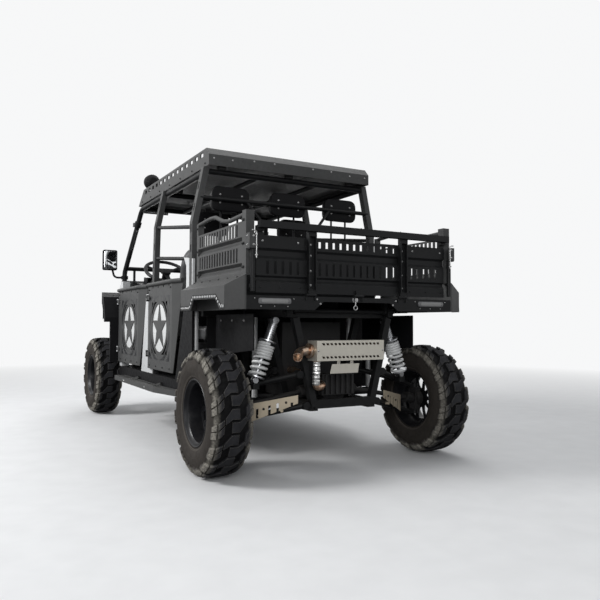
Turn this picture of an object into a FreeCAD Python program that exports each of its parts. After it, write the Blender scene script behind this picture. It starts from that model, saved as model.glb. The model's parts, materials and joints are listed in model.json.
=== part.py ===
"""Side by side utility vehicle with four doors, a dumping load bed and a roof.

Millimetres. +X is the vehicle's left, -Y its front, +Z up. The origin is on the ground, below the
middle of the overall length and width.
"""
import FreeCAD, Part

import math
import os

V = FreeCAD.Vector

# Wheels and axles
WHEELBASE = 2885.0
REAR_AXLE_Y = 1460.0
WHEEL_X = 755.0
TYRE_D = 711.0
TYRE_W = 240.0
RIM_D = 360.0
KINGPIN_X = 690.0
HUB_FACE_X = 735.0

# Cab and doors
DOOR_X = 720.0
DOOR_SHEET = 4.0
DOOR_LOW_Z = 510.0
DOOR_TOP_Z = 1140.0
DOOR_TUBE_R = 15.0
STAR_R = 174.0
STAR_Z = 816.0
FLOOR_Z = 400.0
SILL_X = 706.0
SILL_W = 106.0

# Roof and cage
ROOF_HALF = 620.0
ROOF_LOW_Z = 1866.0
ROOF_TOP_Z = 1985.0
ROOF_SHEET_Z = 1890.0
ROOF_REAR_Y = 1027.0
ROOF_FRONT_Y = -682.0
ROOF_RAKE = 160.0
POST_W = 50.0
CAGE_R = 21.0
B_POST_Y = 67.0
C_POST_Y = 947.0

# Load bed
BED_FRONT_Y = 1040.0
BED_REAR_Y = 1803.0
BED_FLOOR_Z = 1000.0
BED_LOW_Z = 926.0
FENDER_X = 808.0
SIDE_X = 700.0
SIDE_LOW_Z = 1105.0
SIDE_END_Z = 1452.0
GATE_HALF = 645.0
GATE_LOW_Z = 1015.0
GATE_TOP_Z = 1322.0
BED_HINGE_Y = 1620.0
BED_HINGE_Z = 925.0
GATE_HINGE_Y = 1812.0
GATE_HINGE_Z = 1008.0
GATE_FRONT_Y = 1787.0
GATE_T = 14.0
GATE_BARREL_R = 8.0
GATE_HINGES = (-315.0, 0.0, 315.0)

# Frame
RAIL = 50.0
RAIL_X = 270.0
RAIL_Z = 365.0
REAR_RAIL_X = 200.0
TUBE = 40.0
UPPER_RAIL_X = 355.0
UPPER_RAIL_Z = 915.0
FRONT_Y = -1855.0

# Clearances
SEAT_GAP = 0.3
RUN_GAP = 0.05

# Worked out from the sizes above
TYRE_R = TYRE_D / 2
RIM_R = RIM_D / 2
AXLE_Z = TYRE_R
FRONT_AXLE_Y = REAR_AXLE_Y - WHEELBASE
CAB_HALF = SILL_X - SILL_W
RAIL_TOP_Z = RAIL_Z + RAIL / 2
UPPER_RAIL_TOP = UPPER_RAIL_Z + RAIL / 2
CROSS_TOP_Z = RAIL_Z + TUBE / 2
REAR_RAIL_Z = RAIL_Z + 7


def box(x0, x1, y0, y1, z0, z1):
    return Part.makeBox(x1 - x0, y1 - y0, z1 - z0, V(x0, y0, z0))


def rod(start, end, radius):
    start, end = V(*start), V(*end)
    return Part.makeCylinder(radius, (end - start).Length, start, end - start)


def disc_x(radius, x0, x1, y, z):
    return Part.makeCylinder(radius, x1 - x0, V(x0, y, z), V(1, 0, 0))


def prism(across, outline, low, high):
    """The outline's two columns are the row axes other than the one that it is drawn out along."""
    place = {
        "x": lambda a, b: V(low, a, b),
        "y": lambda a, b: V(a, low, b),
        "z": lambda a, b: V(a, b, low),
    }[across]
    points = [place(a, b) for a, b in outline]
    way = {"x": V(1, 0, 0), "y": V(0, 1, 0), "z": V(0, 0, 1)}[across]
    face = Part.Face(Part.makePolygon(points + points[:1]))
    return face.extrude(way * (high - low))


def bar(start, end, width, height):
    """A square-ended bar of rectangular section: its height is upright, or along Y if the bar stands."""
    start, end = V(*start), V(*end)
    along = (end - start).normalize()
    up = V(0, 1, 0) if abs(along.z) > 0.8 else V(0, 0, 1)
    side = along.cross(up).normalize()
    top = side.cross(along).normalize()
    corners = [
        start + side * (width / 2 * a) + top * (height / 2 * b)
        for a, b in ((-1, -1), (1, -1), (1, 1), (-1, 1))
    ]
    face = Part.Face(Part.makePolygon(corners + corners[:1]))
    return face.extrude(end - start)


def bent_tube(points, radius, bend):
    """A round tube along straight runs joined by tangent arcs."""
    points = [V(*p) for p in points]
    edges = []
    last = points[0]
    for before, corner, after in zip(points, points[1:], points[2:]):
        into = (corner - before).normalize()
        out = (after - corner).normalize()
        half = into.getAngle(out) / 2
        if half < 0.01:
            continue
        reach = min(bend * math.tan(half), 0.45 * min((corner - before).Length, (after - corner).Length))
        first, third = corner - into * reach, corner + out * reach
        middle = (out - into).normalize()
        sag = reach / math.tan(half) * (1 / math.cos(half) - 1)
        edges.append(Part.LineSegment(last, first).toShape())
        edges.append(Part.Arc(first, corner + middle * sag, third).toShape())
        last = third
    edges.append(Part.LineSegment(last, points[-1]).toShape())
    start = (edges[0].Vertexes[1].Point - edges[0].Vertexes[0].Point).normalize()
    ring = Part.Wire(Part.makeCircle(radius, points[0], start))
    return Part.Wire(edges).makePipeShell([ring], True, True)


def revolve_x(outline, y, z):
    """The outline's columns are X and the distance from the axis."""
    points = [V(x, y, z + r) for x, r in outline]
    face = Part.Face(Part.makePolygon(points + points[:1]))
    return face.revolve(V(0, y, z), V(1, 0, 0), 360)


def fused(*shapes):
    whole = shapes[0].multiFuse(list(shapes[1:])) if len(shapes) > 1 else shapes[0]
    return whole.removeSplitter()


def bar_and_room(start, end, width, height, gap):
    """A bar and the room that it takes from its neighbours, larger by the gap all round."""
    along = (V(*end) - V(*start)).normalize() * gap
    room = bar(tuple(V(*start) - along), tuple(V(*end) + along), width + 2 * gap, height + 2 * gap)
    return bar(start, end, width, height), room


def rod_and_room(start, end, radius, gap):
    along = (V(*end) - V(*start)).normalize() * gap
    return rod(start, end, radius), rod(tuple(V(*start) - along), tuple(V(*end) + along), radius + gap)


def mirrored(rows):
    return [pair_row for shape, room in rows for pair_row in ((shape, room), (flip(shape), flip(room)))]


def fitted(rows, scrap=0.12):
    """Shapes in the order in which they run through: each ends short of the rooms before it."""
    done, rooms = [], []
    for shape, room in rows:
        near = [r for r in rooms if r.BoundBox.intersect(shape.BoundBox)]
        left = shape.cut(Part.makeCompound(near)).Solids if near else [shape]
        biggest = max(piece.Volume for piece in left)
        done += [piece for piece in left if piece.Volume > biggest * scrap]
        rooms.append(room)
    return done


def flip(shape):
    """The same piece on the vehicle's right."""
    return shape.mirror(V(0, 0, 0), V(1, 0, 0))


def pair(shape):
    return Part.makeCompound([shape, flip(shape)])


def both(*shapes):
    """The pieces and their mirror images, for a fuse."""
    return list(shapes) + [flip(s) for s in shapes]


def spread(low, high, count):
    step = (high - low) / count
    return [low + step * (n + 0.5) for n in range(count)]


def plate_solid(rows):
    """A solid between flat faces through rows of (X, low Y, high Y, low Z, high Z)."""
    corners = [
        (V(x, y0, z0), V(x, y1, z0), V(x, y1, z1), V(x, y0, z1))
        for x, y0, y1, z0, z1 in rows
    ]
    faces = [Part.Face(Part.makePolygon(c + c[:1])) for c in (corners[0], corners[-1])]
    for here, there in zip(corners, corners[1:]):
        for n in range(4):
            k = (n + 1) % 4
            faces.append(Part.Face(Part.makePolygon([here[n], here[k], there[k], there[n], here[n]])))
    return Part.Solid(Part.makeShell(faces))


def folded(line, sheet):
    """The outline of a sheet whose outer face follows a line of (across, Z), thickened inwards."""
    return list(line) + [(a - sheet, z) for a, z in line[::-1]]


# Wheels

BEAD_HALF = 96.0
PITCHES = 16
FACETS = 2 * PITCHES
LUG_DEPTH = 15.5
LUG_LEAN = 20.0
LUG_SKIRT = 68.0
TREAD_HALF = TYRE_W / 2 - 45
STUB_R = 22.0
HUB_R = 62.0
RIM_WALL = 7.0
RIM_LIP = 9.0
RIM_HALF = 104.0
RIM_WINDOWS = 8


def carcass():
    """The tyre without its lugs, about the X axis: flat facets, each as wide as a lug's place."""
    outline = [
        (BEAD_HALF, RIM_R + SEAT_GAP), (TYRE_W / 2 - 2, TYRE_R - 90), (TREAD_HALF, TYRE_R - LUG_DEPTH),
    ]
    outline += [(-x, r) for x, r in outline[::-1]]
    half = math.pi / FACETS

    def spot(x, r, n):
        a = 2 * half * n
        return V(x, r / math.cos(half) * math.cos(a + half), r / math.cos(half) * math.sin(a + half))

    faces = []
    for (x0, r0), (x1, r1) in zip(outline, outline[1:] + outline[:1]):
        for n in range(FACETS):
            corners = [spot(x0, r0, n), spot(x1, r1, n), spot(x1, r1, n + 1), spot(x0, r0, n + 1)]
            faces.append(Part.Face(Part.makePolygon(corners + corners[:1])))
    return Part.Solid(Part.makeShell(faces))


def lug():
    """One lug at the top of the left half: a wide shoulder block on an arm that leans to the middle."""
    low, crown, edge = TYRE_R - LUG_SKIRT, TYRE_R, TYRE_W / 2
    rows = [
        (edge, -24, 20, low, crown - 36),
        (edge - 34, -22, 22, low, crown),
        (8, LUG_LEAN - 14, LUG_LEAN + 13, low, crown),
    ]
    return plate_solid(rows)


def tyre(y):
    """A left tyre with its lugs staggered from side to side, one of them flat on the ground."""
    block = lug()
    mirrored_block = block.mirror(V(0, 0, 0), V(1, 0, 0))
    lugs = []
    for n in range(PITCHES):
        for made, shift in ((block, 0), (mirrored_block, 1)):
            turned = made.copy()
            turned.rotate(V(0, 0, 0), V(1, 0, 0), 360 / FACETS * (2 * n + shift))
            lugs.append(turned)
    whole = carcass().multiFuse(lugs)
    whole.translate(V(WHEEL_X, y, AXLE_Z))
    return whole


def rim(y):
    """A left rim: flanged barrel, dished disc with windows, and a hub bored for its stub."""
    lip, throat = RIM_R + RIM_LIP, RIM_R - 18
    half = [(BEAD_HALF + SEAT_GAP, RIM_R), (BEAD_HALF + 3, lip), (RIM_HALF, lip), (RIM_HALF, RIM_R - 4),
            (RIM_HALF - 18, RIM_R - 9), (RIM_HALF - 34, throat)]
    outline = [(WHEEL_X + x, r) for x, r in half] + [(WHEEL_X - x, r) for x, r in half[::-1]]
    barrel = revolve_x(outline, y, AXLE_Z)
    disc = revolve_x(
        [
            (HUB_FACE_X - 15, STUB_R + RUN_GAP),
            (HUB_FACE_X + 22, STUB_R + RUN_GAP),
            (HUB_FACE_X + 22, HUB_R - 12),
            (HUB_FACE_X, HUB_R),
            (HUB_FACE_X + 14, RIM_R - RIM_WALL),
            (HUB_FACE_X - 2, RIM_R - RIM_WALL),
            (HUB_FACE_X - 15, HUB_R),
        ],
        y,
        AXLE_Z,
    )
    low, high = AXLE_Z + HUB_R + 26, AXLE_Z + RIM_R - 36
    window = prism("x", [(y - 18, low), (y + 18, low), (y + 30, high), (y - 30, high)],
                   HUB_FACE_X - 60, HUB_FACE_X + 60)
    windows = []
    for n in range(RIM_WINDOWS):
        hole = window.copy()
        hole.rotate(V(0, y, AXLE_Z), V(1, 0, 0), 360 / RIM_WINDOWS * n)
        windows.append(hole)
    return fused(barrel, disc.cut(Part.makeCompound(windows)))


# Suspension and driveline

ARM_R = 17.0
FRONT_ARMS = (
    # inner X, inner Z, outer Z, half spread
    (317.3, 350.0, 268.0, 150.0),
    (342.3, 512.0, 443.0, 120.0),
)
REAR_ARMS = (
    (247.3, 380.0, 268.0, 165.0),
    (289.4, 560.0, 443.0, 165.0),
)
THROAT = 170.0
KNUCKLE_LOW_Z = 268.0
KNUCKLE_TOP_Z = 443.0
EYE_R = 24.0
EYE_H = 26.0
PIN_R = 10.0


def shock_side(axle_y):
    return 1 if axle_y > 0 else -1


def throat_height(row):
    inner_x, inner_z, outer_z, _ = row
    return outer_z + (inner_z - outer_z) * THROAT / (KINGPIN_X - inner_x)


def arm(axle_y, row):
    inner_x, inner_z, outer_z, half = row
    throat = KINGPIN_X - THROAT
    throat_z = throat_height(row)
    web = EYE_H / 2 - 2
    pieces = [
        Part.makeCylinder(EYE_R, EYE_H, V(KINGPIN_X, axle_y, outer_z - EYE_H / 2)),
        box(KINGPIN_X - 46, KINGPIN_X, axle_y - 14, axle_y + 14, outer_z - web, outer_z + web),
        rod((KINGPIN_X - 42, axle_y, outer_z + 1), (throat, axle_y, throat_z), ARM_R - 3),
    ]
    shelf = SHOCK_OFF + 22 if outer_z > AXLE_Z else 32
    near, far = sorted((axle_y - 32 * shock_side(axle_y), axle_y + shelf * shock_side(axle_y)))
    pieces.append(box(throat - 20, throat + 20, near, far, throat_z - ARM_R, throat_z + ARM_R))
    for side in (-1, 1):
        pivot = (inner_x, axle_y + side * half, inner_z)
        pieces.append(rod((throat, axle_y, throat_z), pivot, ARM_R))
        pieces.append(rod((inner_x, pivot[1] - 25, inner_z), (inner_x, pivot[1] + 25, inner_z), 22))
    return fused(*pieces)


def arms_of(axle_y, rows):
    bore = Part.makeCylinder(PIN_R + RUN_GAP, 300, V(KINGPIN_X, axle_y, 200))
    made = [arm(axle_y, row).cut(bore) for row in rows]
    return Part.makeCompound([s for a in made for s in (a, flip(a))])


def front_arms():
    return arms_of(FRONT_AXLE_Y, FRONT_ARMS)


def rear_arms():
    return arms_of(REAR_AXLE_Y, REAR_ARMS)


def knuckle(y):
    """A left upright between its two arms, with a stub for the wheel."""
    low = KNUCKLE_LOW_Z + EYE_H / 2 + SEAT_GAP
    top = KNUCKLE_TOP_Z - EYE_H / 2 - SEAT_GAP
    deep, high = KNUCKLE_LOW_Z - EYE_H / 2, KNUCKLE_TOP_Z + EYE_H / 2
    pieces = [
        box(KINGPIN_X - 20, KINGPIN_X + 20, y - 32, y + 32, low, top),
        disc_x(52, KINGPIN_X - 12, HUB_FACE_X - 15 - SEAT_GAP, y, AXLE_Z),
        disc_x(STUB_R, KINGPIN_X, HUB_FACE_X + 18, y, AXLE_Z),
        Part.makeCylinder(PIN_R, high - deep, V(KINGPIN_X, y, deep)),
    ]
    return fused(*pieces)


STEER_ARM = 95.0
TIE_Z = 412.0
TIE_R = 9.0
BALL_R = 15.0


def front_knuckle():
    """A steering knuckle: the upright with an arm to the rear for its tie rod."""
    y = FRONT_AXLE_Y
    arm_end = (KINGPIN_X - 30, y + STEER_ARM, TIE_Z)
    horn = bar((KINGPIN_X - 10, y + 20, TIE_Z), arm_end, 24, 16)
    return fused(knuckle(y), horn)


def tie_rods():
    """The steering rack's bar with both tie rods, which slides across the vehicle."""
    y = FRONT_AXLE_Y + STEER_ARM
    end = KINGPIN_X - 30
    low = TIE_Z + 8 + 5 + BALL_R
    return fused(
        rod((-end, y, low), (end, y, low), TIE_R),
        *both(Part.makeSphere(BALL_R, V(end, y, low))),
    )


SHOCK_OFF = 62.0
FOOT_EYE_R = 17.0
SHOCKS = (
    # axle Y, top X, top Z, row of the arm that carries it
    (REAR_AXLE_Y, 395.0, 868.0, REAR_ARMS[1]),
    (FRONT_AXLE_Y, 385.0, 850.0, FRONT_ARMS[1]),
)
SPRING_R = 52.0


def shock_frame(row):
    axle_y, top_x, top_z, arm_row = row
    y = axle_y + SHOCK_OFF * shock_side(axle_y)
    foot_z = throat_height(arm_row) + ARM_R + FOOT_EYE_R + SEAT_GAP
    top, foot = V(top_x, y, top_z), V(KINGPIN_X - THROAT, y, foot_z)
    return top, foot, (foot - top).normalize(), (foot - top).Length


def shocks():
    made = []
    for row in SHOCKS:
        top, foot, way, length = shock_frame(row)
        body = fused(
            Part.makeCylinder(22, length * 0.42, top, way),
            *[Part.makeCylinder(27, 7, top + way * (26 + 13 * n), way) for n in range(7)],
            Part.makeCylinder(12, length, top, way),
            Part.makeCylinder(SPRING_R, 8, top + way * (length * 0.34), way),
            Part.makeCylinder(SPRING_R, 8, top + way * (length * 0.93), way),
            rod((top.x, top.y - 22, top.z), (top.x, top.y + 22, top.z), 20),
            rod((foot.x, foot.y - 18, foot.z), (foot.x, foot.y + 18, foot.z), FOOT_EYE_R),
        )
        made += [body, flip(body)]
    return Part.makeCompound(made)


def springs():
    """Coil springs as closed sleeves with the coils' outline."""
    made = []
    for row in SHOCKS:
        top, _, way, length = shock_frame(row)
        start, end = length * 0.34 + 8 + SEAT_GAP, length * 0.93 - SEAT_GAP
        coils = 7
        pitch = (end - start) / coils
        outline = [(start, 30)]
        for n in range(coils):
            at = start + pitch * n
            outline += [(at, 40), (at + pitch * 0.25, 49), (at + pitch * 0.6, 49), (at + pitch * 0.85, 40)]
        outline += [(end, 40), (end, 30)]
        points = [V(r, 0, a) for a, r in outline]
        face = Part.Face(Part.makePolygon(points + points[:1]))
        sleeve = face.revolve(V(0, 0, 0), V(0, 0, 1), 360)
        turn = FreeCAD.Rotation(V(0, 0, 1), way)
        sleeve.Placement = FreeCAD.Placement(top, turn)
        made += [sleeve, flip(sleeve)]
    return Part.makeCompound(made)


def rear_knuckles():
    return pair(knuckle(REAR_AXLE_Y))


CASE_Z = 450.0
CASES = (
    # axle Y, radius, half length, shaft end X
    (REAR_AXLE_Y, 95.0, 135.0, KINGPIN_X - 20),
    (FRONT_AXLE_Y, 70.0, 120.0, KINGPIN_X - 75),
)


def gearcases():
    """The front and rear final drives, each with its two half shafts."""
    made = []
    for y, radius, half, reach in CASES:
        made.append(fused(disc_x(radius, -70, 70, y, CASE_Z), disc_x(52, -half, half, y, CASE_Z)))
        inner, outer = V(half, y, CASE_Z), V(reach, y, AXLE_Z)
        way = (outer - inner).normalize()
        shaft = fused(
            Part.makeCylinder(14, (outer - inner).Length - 10, inner, way),
            Part.makeCylinder(36, 60, inner, way),
            Part.makeCylinder(34, 55, outer - way * 65, way),
        )
        if y == REAR_AXLE_Y:
            shaft = fused(shaft, disc_x(24, reach - 30, reach - SEAT_GAP, y, AXLE_Z))
        shaft = shaft.cut(box(-half, half + SEAT_GAP, y - 200, y + 200, 200, 700))
        made += both(shaft)
    y = REAR_AXLE_Y + 85
    ribs = [box(x - 5, x + 5, y, y + 62, 432, 546) for x in spread(-110, 110, 6)]
    made[0] = fused(made[0], box(-112, 112, y, y + 48, 426, 552), *ribs)
    return Part.makeCompound(made)


# Frame

KINK_Y = 1000.0
REAR_END_Y = 1650.0
FRONT_END_Y = -1745.0
FOOTWELL_Y = -955.0
ENGINE_POST_Y = 1300.0
SUB_RAIL_X = 300.0
FRAME_RAILS = (
    # start X, Y, Z, end X, Y, Z, width, height: one side of the tubes that run through
    (RAIL_X, -1560, RAIL_Z, RAIL_X, KINK_Y, RAIL_Z, RAIL, RAIL),
    (RAIL_X, KINK_Y, RAIL_Z, REAR_RAIL_X, 1180, REAR_RAIL_Z, RAIL, RAIL),
    (REAR_RAIL_X, 1180, REAR_RAIL_Z, REAR_RAIL_X, REAR_END_Y, REAR_RAIL_Z, RAIL, RAIL),
    (RAIL_X, -1560, RAIL_Z, REAR_RAIL_X, FRONT_END_Y, 425, RAIL, RAIL),
    (UPPER_RAIL_X, 990, UPPER_RAIL_Z, UPPER_RAIL_X, 1640, UPPER_RAIL_Z, TUBE, RAIL),
)
FRAME_CROSS = (
    # Y, Z, half width, width, height
    (FRONT_END_Y, 425, REAR_RAIL_X, TUBE, TUBE),
    (FRONT_AXLE_Y, 359.5, RAIL_X - RAIL / 2, 100, 40.4),
    (REAR_AXLE_Y, 347, REAR_RAIL_X - RAIL / 2, 100, 15.4),
    (1167, RAIL_Z, 375, TUBE, TUBE),
    (C_POST_Y, RAIL_Z, 690, TUBE, TUBE),
    (-1570, RAIL_Z, RAIL_X, RAIL, RAIL),
    (-1295, RAIL_Z, RAIL_X, TUBE, RAIL),
    (FOOTWELL_Y, RAIL_Z, SUB_RAIL_X, TUBE, TUBE),
    (-300, RAIL_Z, CAB_HALF, TUBE, TUBE),
    (100, RAIL_Z, CAB_HALF, TUBE, TUBE),
    (760, RAIL_Z, CAB_HALF, TUBE, TUBE),
    (1330, RAIL_Z + 10, REAR_RAIL_X, TUBE, RAIL),
    (REAR_END_Y - 10, RAIL_Z + 20, REAR_RAIL_X, TUBE, RAIL),
    (1570, UPPER_RAIL_Z - 10, UPPER_RAIL_X, TUBE, TUBE),
    (1010, UPPER_RAIL_Z, 651, TUBE, TUBE),
    (1010, RAIL_Z, 690, TUBE, TUBE),
    (-945, 1000, 639, 36, 36),
    (-1550, 900, 380, 36, 36),
    (-1490, 895, 420, 36, 36),
    (1522, UPPER_RAIL_Z - 5, 410, 36, TUBE),
)
FRAME_STRUTS = (
    # start X, Y, Z, end X, Y, Z, width: one side of the tubes that end on others
    (REAR_RAIL_X, REAR_END_Y - 10, REAR_RAIL_Z, 325, REAR_END_Y - 10, 885, TUBE),
    (REAR_RAIL_X, ENGINE_POST_Y, REAR_RAIL_Z, 325, ENGINE_POST_Y, 890, TUBE),
    (UPPER_RAIL_X, 1010, RAIL_Z, UPPER_RAIL_X, 1010, UPPER_RAIL_Z, TUBE),
    (SUB_RAIL_X, -1700, 505, SUB_RAIL_X, FOOTWELL_Y + 20, 560, TUBE),
    (REAR_RAIL_X, FRONT_END_Y, 425, SUB_RAIL_X, -1690, 505, TUBE),
    (SUB_RAIL_X, -1565, 510, 365, -1560, 900, 36),
    (385, -1487, 895, 560, -945, 1000, 36),
    (SUB_RAIL_X, FOOTWELL_Y, RAIL_Z, SUB_RAIL_X, FOOTWELL_Y, 560, TUBE),
)
HINGE_PIN_R = 12.0
HOOD_FRONT_Y = -1762.0
HOOD_REAR_Y = -975.0
HOOD_WALL = 6.0
HOOD_RISE = 9.0
HOOD_CREASE = (-1690.0, 1092.0)
HOOD_TOP_Z = 1235.0
STAY_R = 12.0
HOOD_STAYS = (
    # X, Y, Z of each stay's foot
    (413.0, -1400.0, 912.0),
    (526.0, -1050.0, 980.0),
)


def hood_under(y):
    """The height of the hood's inner face."""
    slope = (HOOD_TOP_Z - HOOD_CREASE[1]) / (HOOD_REAR_Y - HOOD_CREASE[0])
    return HOOD_CREASE[1] + (y - HOOD_CREASE[0]) * slope - HOOD_WALL


def frame():
    """The chassis tubes, the pin that the bed tilts on, and the steering rack's housing."""
    gap = SEAT_GAP
    rows = []
    y, z = FRONT_AXLE_Y + STEER_ARM, TIE_Z + 8 + 5 + BALL_R
    rack = box(-150, 150, y - 20, y + 20, z - 22, z + 22)
    rows.append((rack, box(-150 - gap, 150 + gap, y - 20 - gap, y + 20 + gap, z - 22 - gap, z + 22 + gap)))
    pin, pin_y, pin_z = UPPER_RAIL_X + 40, BED_HINGE_Y, BED_HINGE_Z
    rows.append(rod_and_room((-pin, pin_y, pin_z), (pin, pin_y, pin_z), HINGE_PIN_R, RUN_GAP))
    for x0, y0, z0, x1, y1, z1, wide, high in FRAME_RAILS:
        rows += mirrored([bar_and_room((x0, y0, z0), (x1, y1, z1), wide, high, gap)])
    for cross_y, cross_z, half, wide, high in FRAME_CROSS:
        rows.append(bar_and_room((-half, cross_y, cross_z), (half, cross_y, cross_z), wide, high, gap))
    for x0, y0, z0, x1, y1, z1, wide in FRAME_STRUTS:
        rows += mirrored([bar_and_room((x0, y0, z0), (x1, y1, z1), wide, wide, gap)])
    rows += mirrored([bar_and_room((110, y, 360), (110, y, z), 40, 36, gap)])
    for x, stay_y, foot_z in HOOD_STAYS:
        top = hood_under(stay_y - STAY_R) - gap
        rows += mirrored([rod_and_room((x, stay_y, foot_z), (x, stay_y, top), STAY_R, gap)])
    pieces = fitted(rows)
    bore = rod((-300, y, z), (300, y, z), TIE_R + RUN_GAP)
    return Part.makeCompound([pieces[0].cut(bore)] + pieces[1:])


# Cage, roof and posts

DOORS = {
    # front Y, fold Y, rear Y at the top, rear Y at the bottom, star Y
    "front": (-942.0, -275.0, -111.0, -242.0, -566.0),
    "rear": (17.0, 602.0, 749.0, 625.0, 307.0),
}

SILL_TOP_Z = 470.0
C_POST = ((708, 1000), (708, 1500), (633, 1866))
B_POST = ((698, SILL_TOP_Z + SEAT_GAP), (698, 1200), (690, 1580), (632, 1866))
BASE_Z = 1000.0


def post(path, y, hole_heights):
    """A square post along a path of (outer face X, Z), with long holes through its outer wall."""
    inner = [(x - POST_W * 0.8, z) for x, z in path]
    outline = list(path) + inner[::-1]
    solid = prism("y", outline, y - POST_W / 2, y + POST_W / 2)
    for z in hole_heights:
        slot = fused(
            rod((400, y, z - 18), (800, y, z - 18), 9),
            rod((400, y, z + 18), (800, y, z + 18), 9),
            box(400, 800, y - 9, y + 9, z - 18, z + 18),
        )
        solid = solid.cut(slot)
    return solid


CAGE_TOP_Z = ROOF_LOW_Z - CAGE_R - 4.0
CAGE_X = 600.0
A_POST_TOP_Y = -642.0
A_POST_X = 683.0
A_POST_Y = -893.0
COWL_TOP_Z = 1220.0


HANDLE_OFF = 46.0
HANDLE_SHARES = (0.36, 0.66)


def hoop_path():
    return [(A_POST_X, A_POST_Y, COWL_TOP_Z + SEAT_GAP), (A_POST_X, A_POST_Y, 1300),
            (CAGE_X, A_POST_TOP_Y, CAGE_TOP_Z), (CAGE_X, C_POST_Y + 13, CAGE_TOP_Z)]


def hoop_spot(share):
    """A point on the raked part of the left front post, from its foot to its top."""
    path = hoop_path()
    low, top = V(*path[1]), V(*path[2])
    return low + (top - low) * share


def front_hoops():
    """The front posts, each bent over into the roof's side tube, with a clamp and a grab handle."""
    way = (hoop_spot(1) - hoop_spot(0)).normalize()
    clamp = rod(hoop_spot(0.76) - way * 24, hoop_spot(0.76) + way * 24, CAGE_R + 8)
    lug_end = hoop_spot(0.76) + V(0, -105, 10)
    block = bar(tuple(hoop_spot(0.76)), tuple(lug_end), 34, 36)
    out = V(0, HANDLE_OFF, 0)
    ends = [hoop_spot(s) for s in HANDLE_SHARES]
    handle = bent_tube([tuple(ends[0]), tuple(ends[0] + out), tuple(ends[1] + out), tuple(ends[1])], 9, 25)
    return pair(fused(bent_tube(hoop_path(), CAGE_R, 90), clamp, block, handle))


def post_room(path, y):
    reach = SEAT_GAP
    outline = [(x + reach, z) for x, z in path] + [(x - POST_W * 0.8 - reach, z) for x, z in path[::-1]]
    return prism("y", outline, y - POST_W / 2 - reach, y + POST_W / 2 + reach)


def roll_cage():
    """The square posts and the tubes between them, each ending on those that run through."""
    gap = SEAT_GAP
    hoop = (bent_tube(hoop_path(), CAGE_R, 90), bent_tube(hoop_path(), CAGE_R + gap, 90))
    rear_post = post(C_POST, C_POST_Y, (1330, 1460, 1600, 1740))
    centre_post = fused(post(B_POST, B_POST_Y, (1290, 1430, 1600, 1760)),
                        *[ears(DOORS["rear"][0], z, *arms) for z, arms in rear_hinge_arms()])
    rows = mirrored([
        hoop,
        (rear_post, post_room(C_POST, C_POST_Y)),
        (centre_post, post_room(B_POST, B_POST_Y)),
    ])
    for y in (A_POST_TOP_Y + 20, B_POST_Y, C_POST_Y):
        rows.append(rod_and_room((-CAGE_X, y, CAGE_TOP_Z), (CAGE_X, y, CAGE_TOP_Z), CAGE_R - 2, gap))
    rows += mirrored([rod_and_room((230, -620, CAGE_TOP_Z), (230, C_POST_Y, CAGE_TOP_Z), CAGE_R - 3, gap)])
    rows.append(rod_and_room((-655, 960, 1665), (655, 960, 1665), 14, gap))
    rows += mirrored([
        rod_and_room((325, 960, 1665), (230, 975, 1545), 10, gap),
        rod_and_room((670, B_POST_Y, 1580), (683, C_POST_Y, 1470), 13, gap),
        rod_and_room((677, B_POST_Y, 1345), (676, C_POST_Y, 1265), 13, gap),
    ])
    rows.append(rod_and_room((-A_POST_X, -880, 1335), (A_POST_X, -880, 1335), 18, gap))
    rows += mirrored([rod_and_room((600, -880, 1335), (600, -880, 1200), 11, gap)])
    return Part.makeCompound(fitted(rows)[2:])


def roof():
    low, top, wall = ROOF_LOW_Z, ROOF_TOP_Z, 8.0
    side = [
        (ROOF_FRONT_Y, low),
        (ROOF_REAR_Y, low),
        (ROOF_REAR_Y, low + 71),
        (ROOF_REAR_Y - 45, top),
        (ROOF_FRONT_Y + ROOF_RAKE, top),
    ]
    plates = both(prism("x", side, ROOF_HALF - wall, ROOF_HALF))
    plates.append(box(-ROOF_HALF, ROOF_HALF, ROOF_FRONT_Y + 40, ROOF_REAR_Y, ROOF_SHEET_Z, ROOF_SHEET_Z + 6))
    plates.append(box(-ROOF_HALF, ROOF_HALF, ROOF_REAR_Y - wall, ROOF_REAR_Y, low, low + 71))
    plates.append(
        prism("x", [(ROOF_REAR_Y - wall, low + 71), (ROOF_REAR_Y, low + 71), (ROOF_REAR_Y - 45, top),
                    (ROOF_REAR_Y - 53, top)], -ROOF_HALF, ROOF_HALF)
    )
    plates.append(
        prism("x", [(ROOF_FRONT_Y, low), (ROOF_FRONT_Y + 10, low), (ROOF_FRONT_Y + ROOF_RAKE + 10, top),
                    (ROOF_FRONT_Y + ROOF_RAKE, top)], -ROOF_HALF, ROOF_HALF)
    )
    for y in (A_POST_TOP_Y + 20, B_POST_Y, C_POST_Y):
        for x in (-500, 0, 500):
            plates.append(box(x - 25, x + 25, y - 16, y + 16, CAGE_TOP_Z + CAGE_R - 2 + SEAT_GAP, ROOF_SHEET_Z))
    whole = fused(*plates)
    slots = []
    for y in spread(ROOF_FRONT_Y + ROOF_RAKE + 20, ROOF_REAR_Y - 80, 14):
        slots.append(box(-ROOF_HALF - 5, ROOF_HALF + 5, y - 28, y + 28, top - 46, top - 18))
    return whole.cut(Part.makeCompound(slots))


# Body

def floor_pan():
    """The cab's floor with its sills, and the firewall ahead of it."""
    pieces = [
        box(-CAB_HALF, CAB_HALF, -921.3, 960, RAIL_TOP_Z + SEAT_GAP, FLOOR_Z),
        box(-CAB_HALF, CAB_HALF, -921.3, -915.3, FLOOR_Z - 2, 980),
    ]
    pieces += both(
        box(CAB_HALF, SILL_X, -940, 905, FLOOR_Z - 14.7, SILL_TOP_Z),
    )
    return fused(*pieces)


DOOR_HINGE_X = 728.0
HINGE_HEIGHTS = (620.0, 1040.0)
BARREL_R = 7.5
BARREL_HALF = 14.0
EAR_TOP = 24.0
HINGE_ROD_R = 4.0


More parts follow.
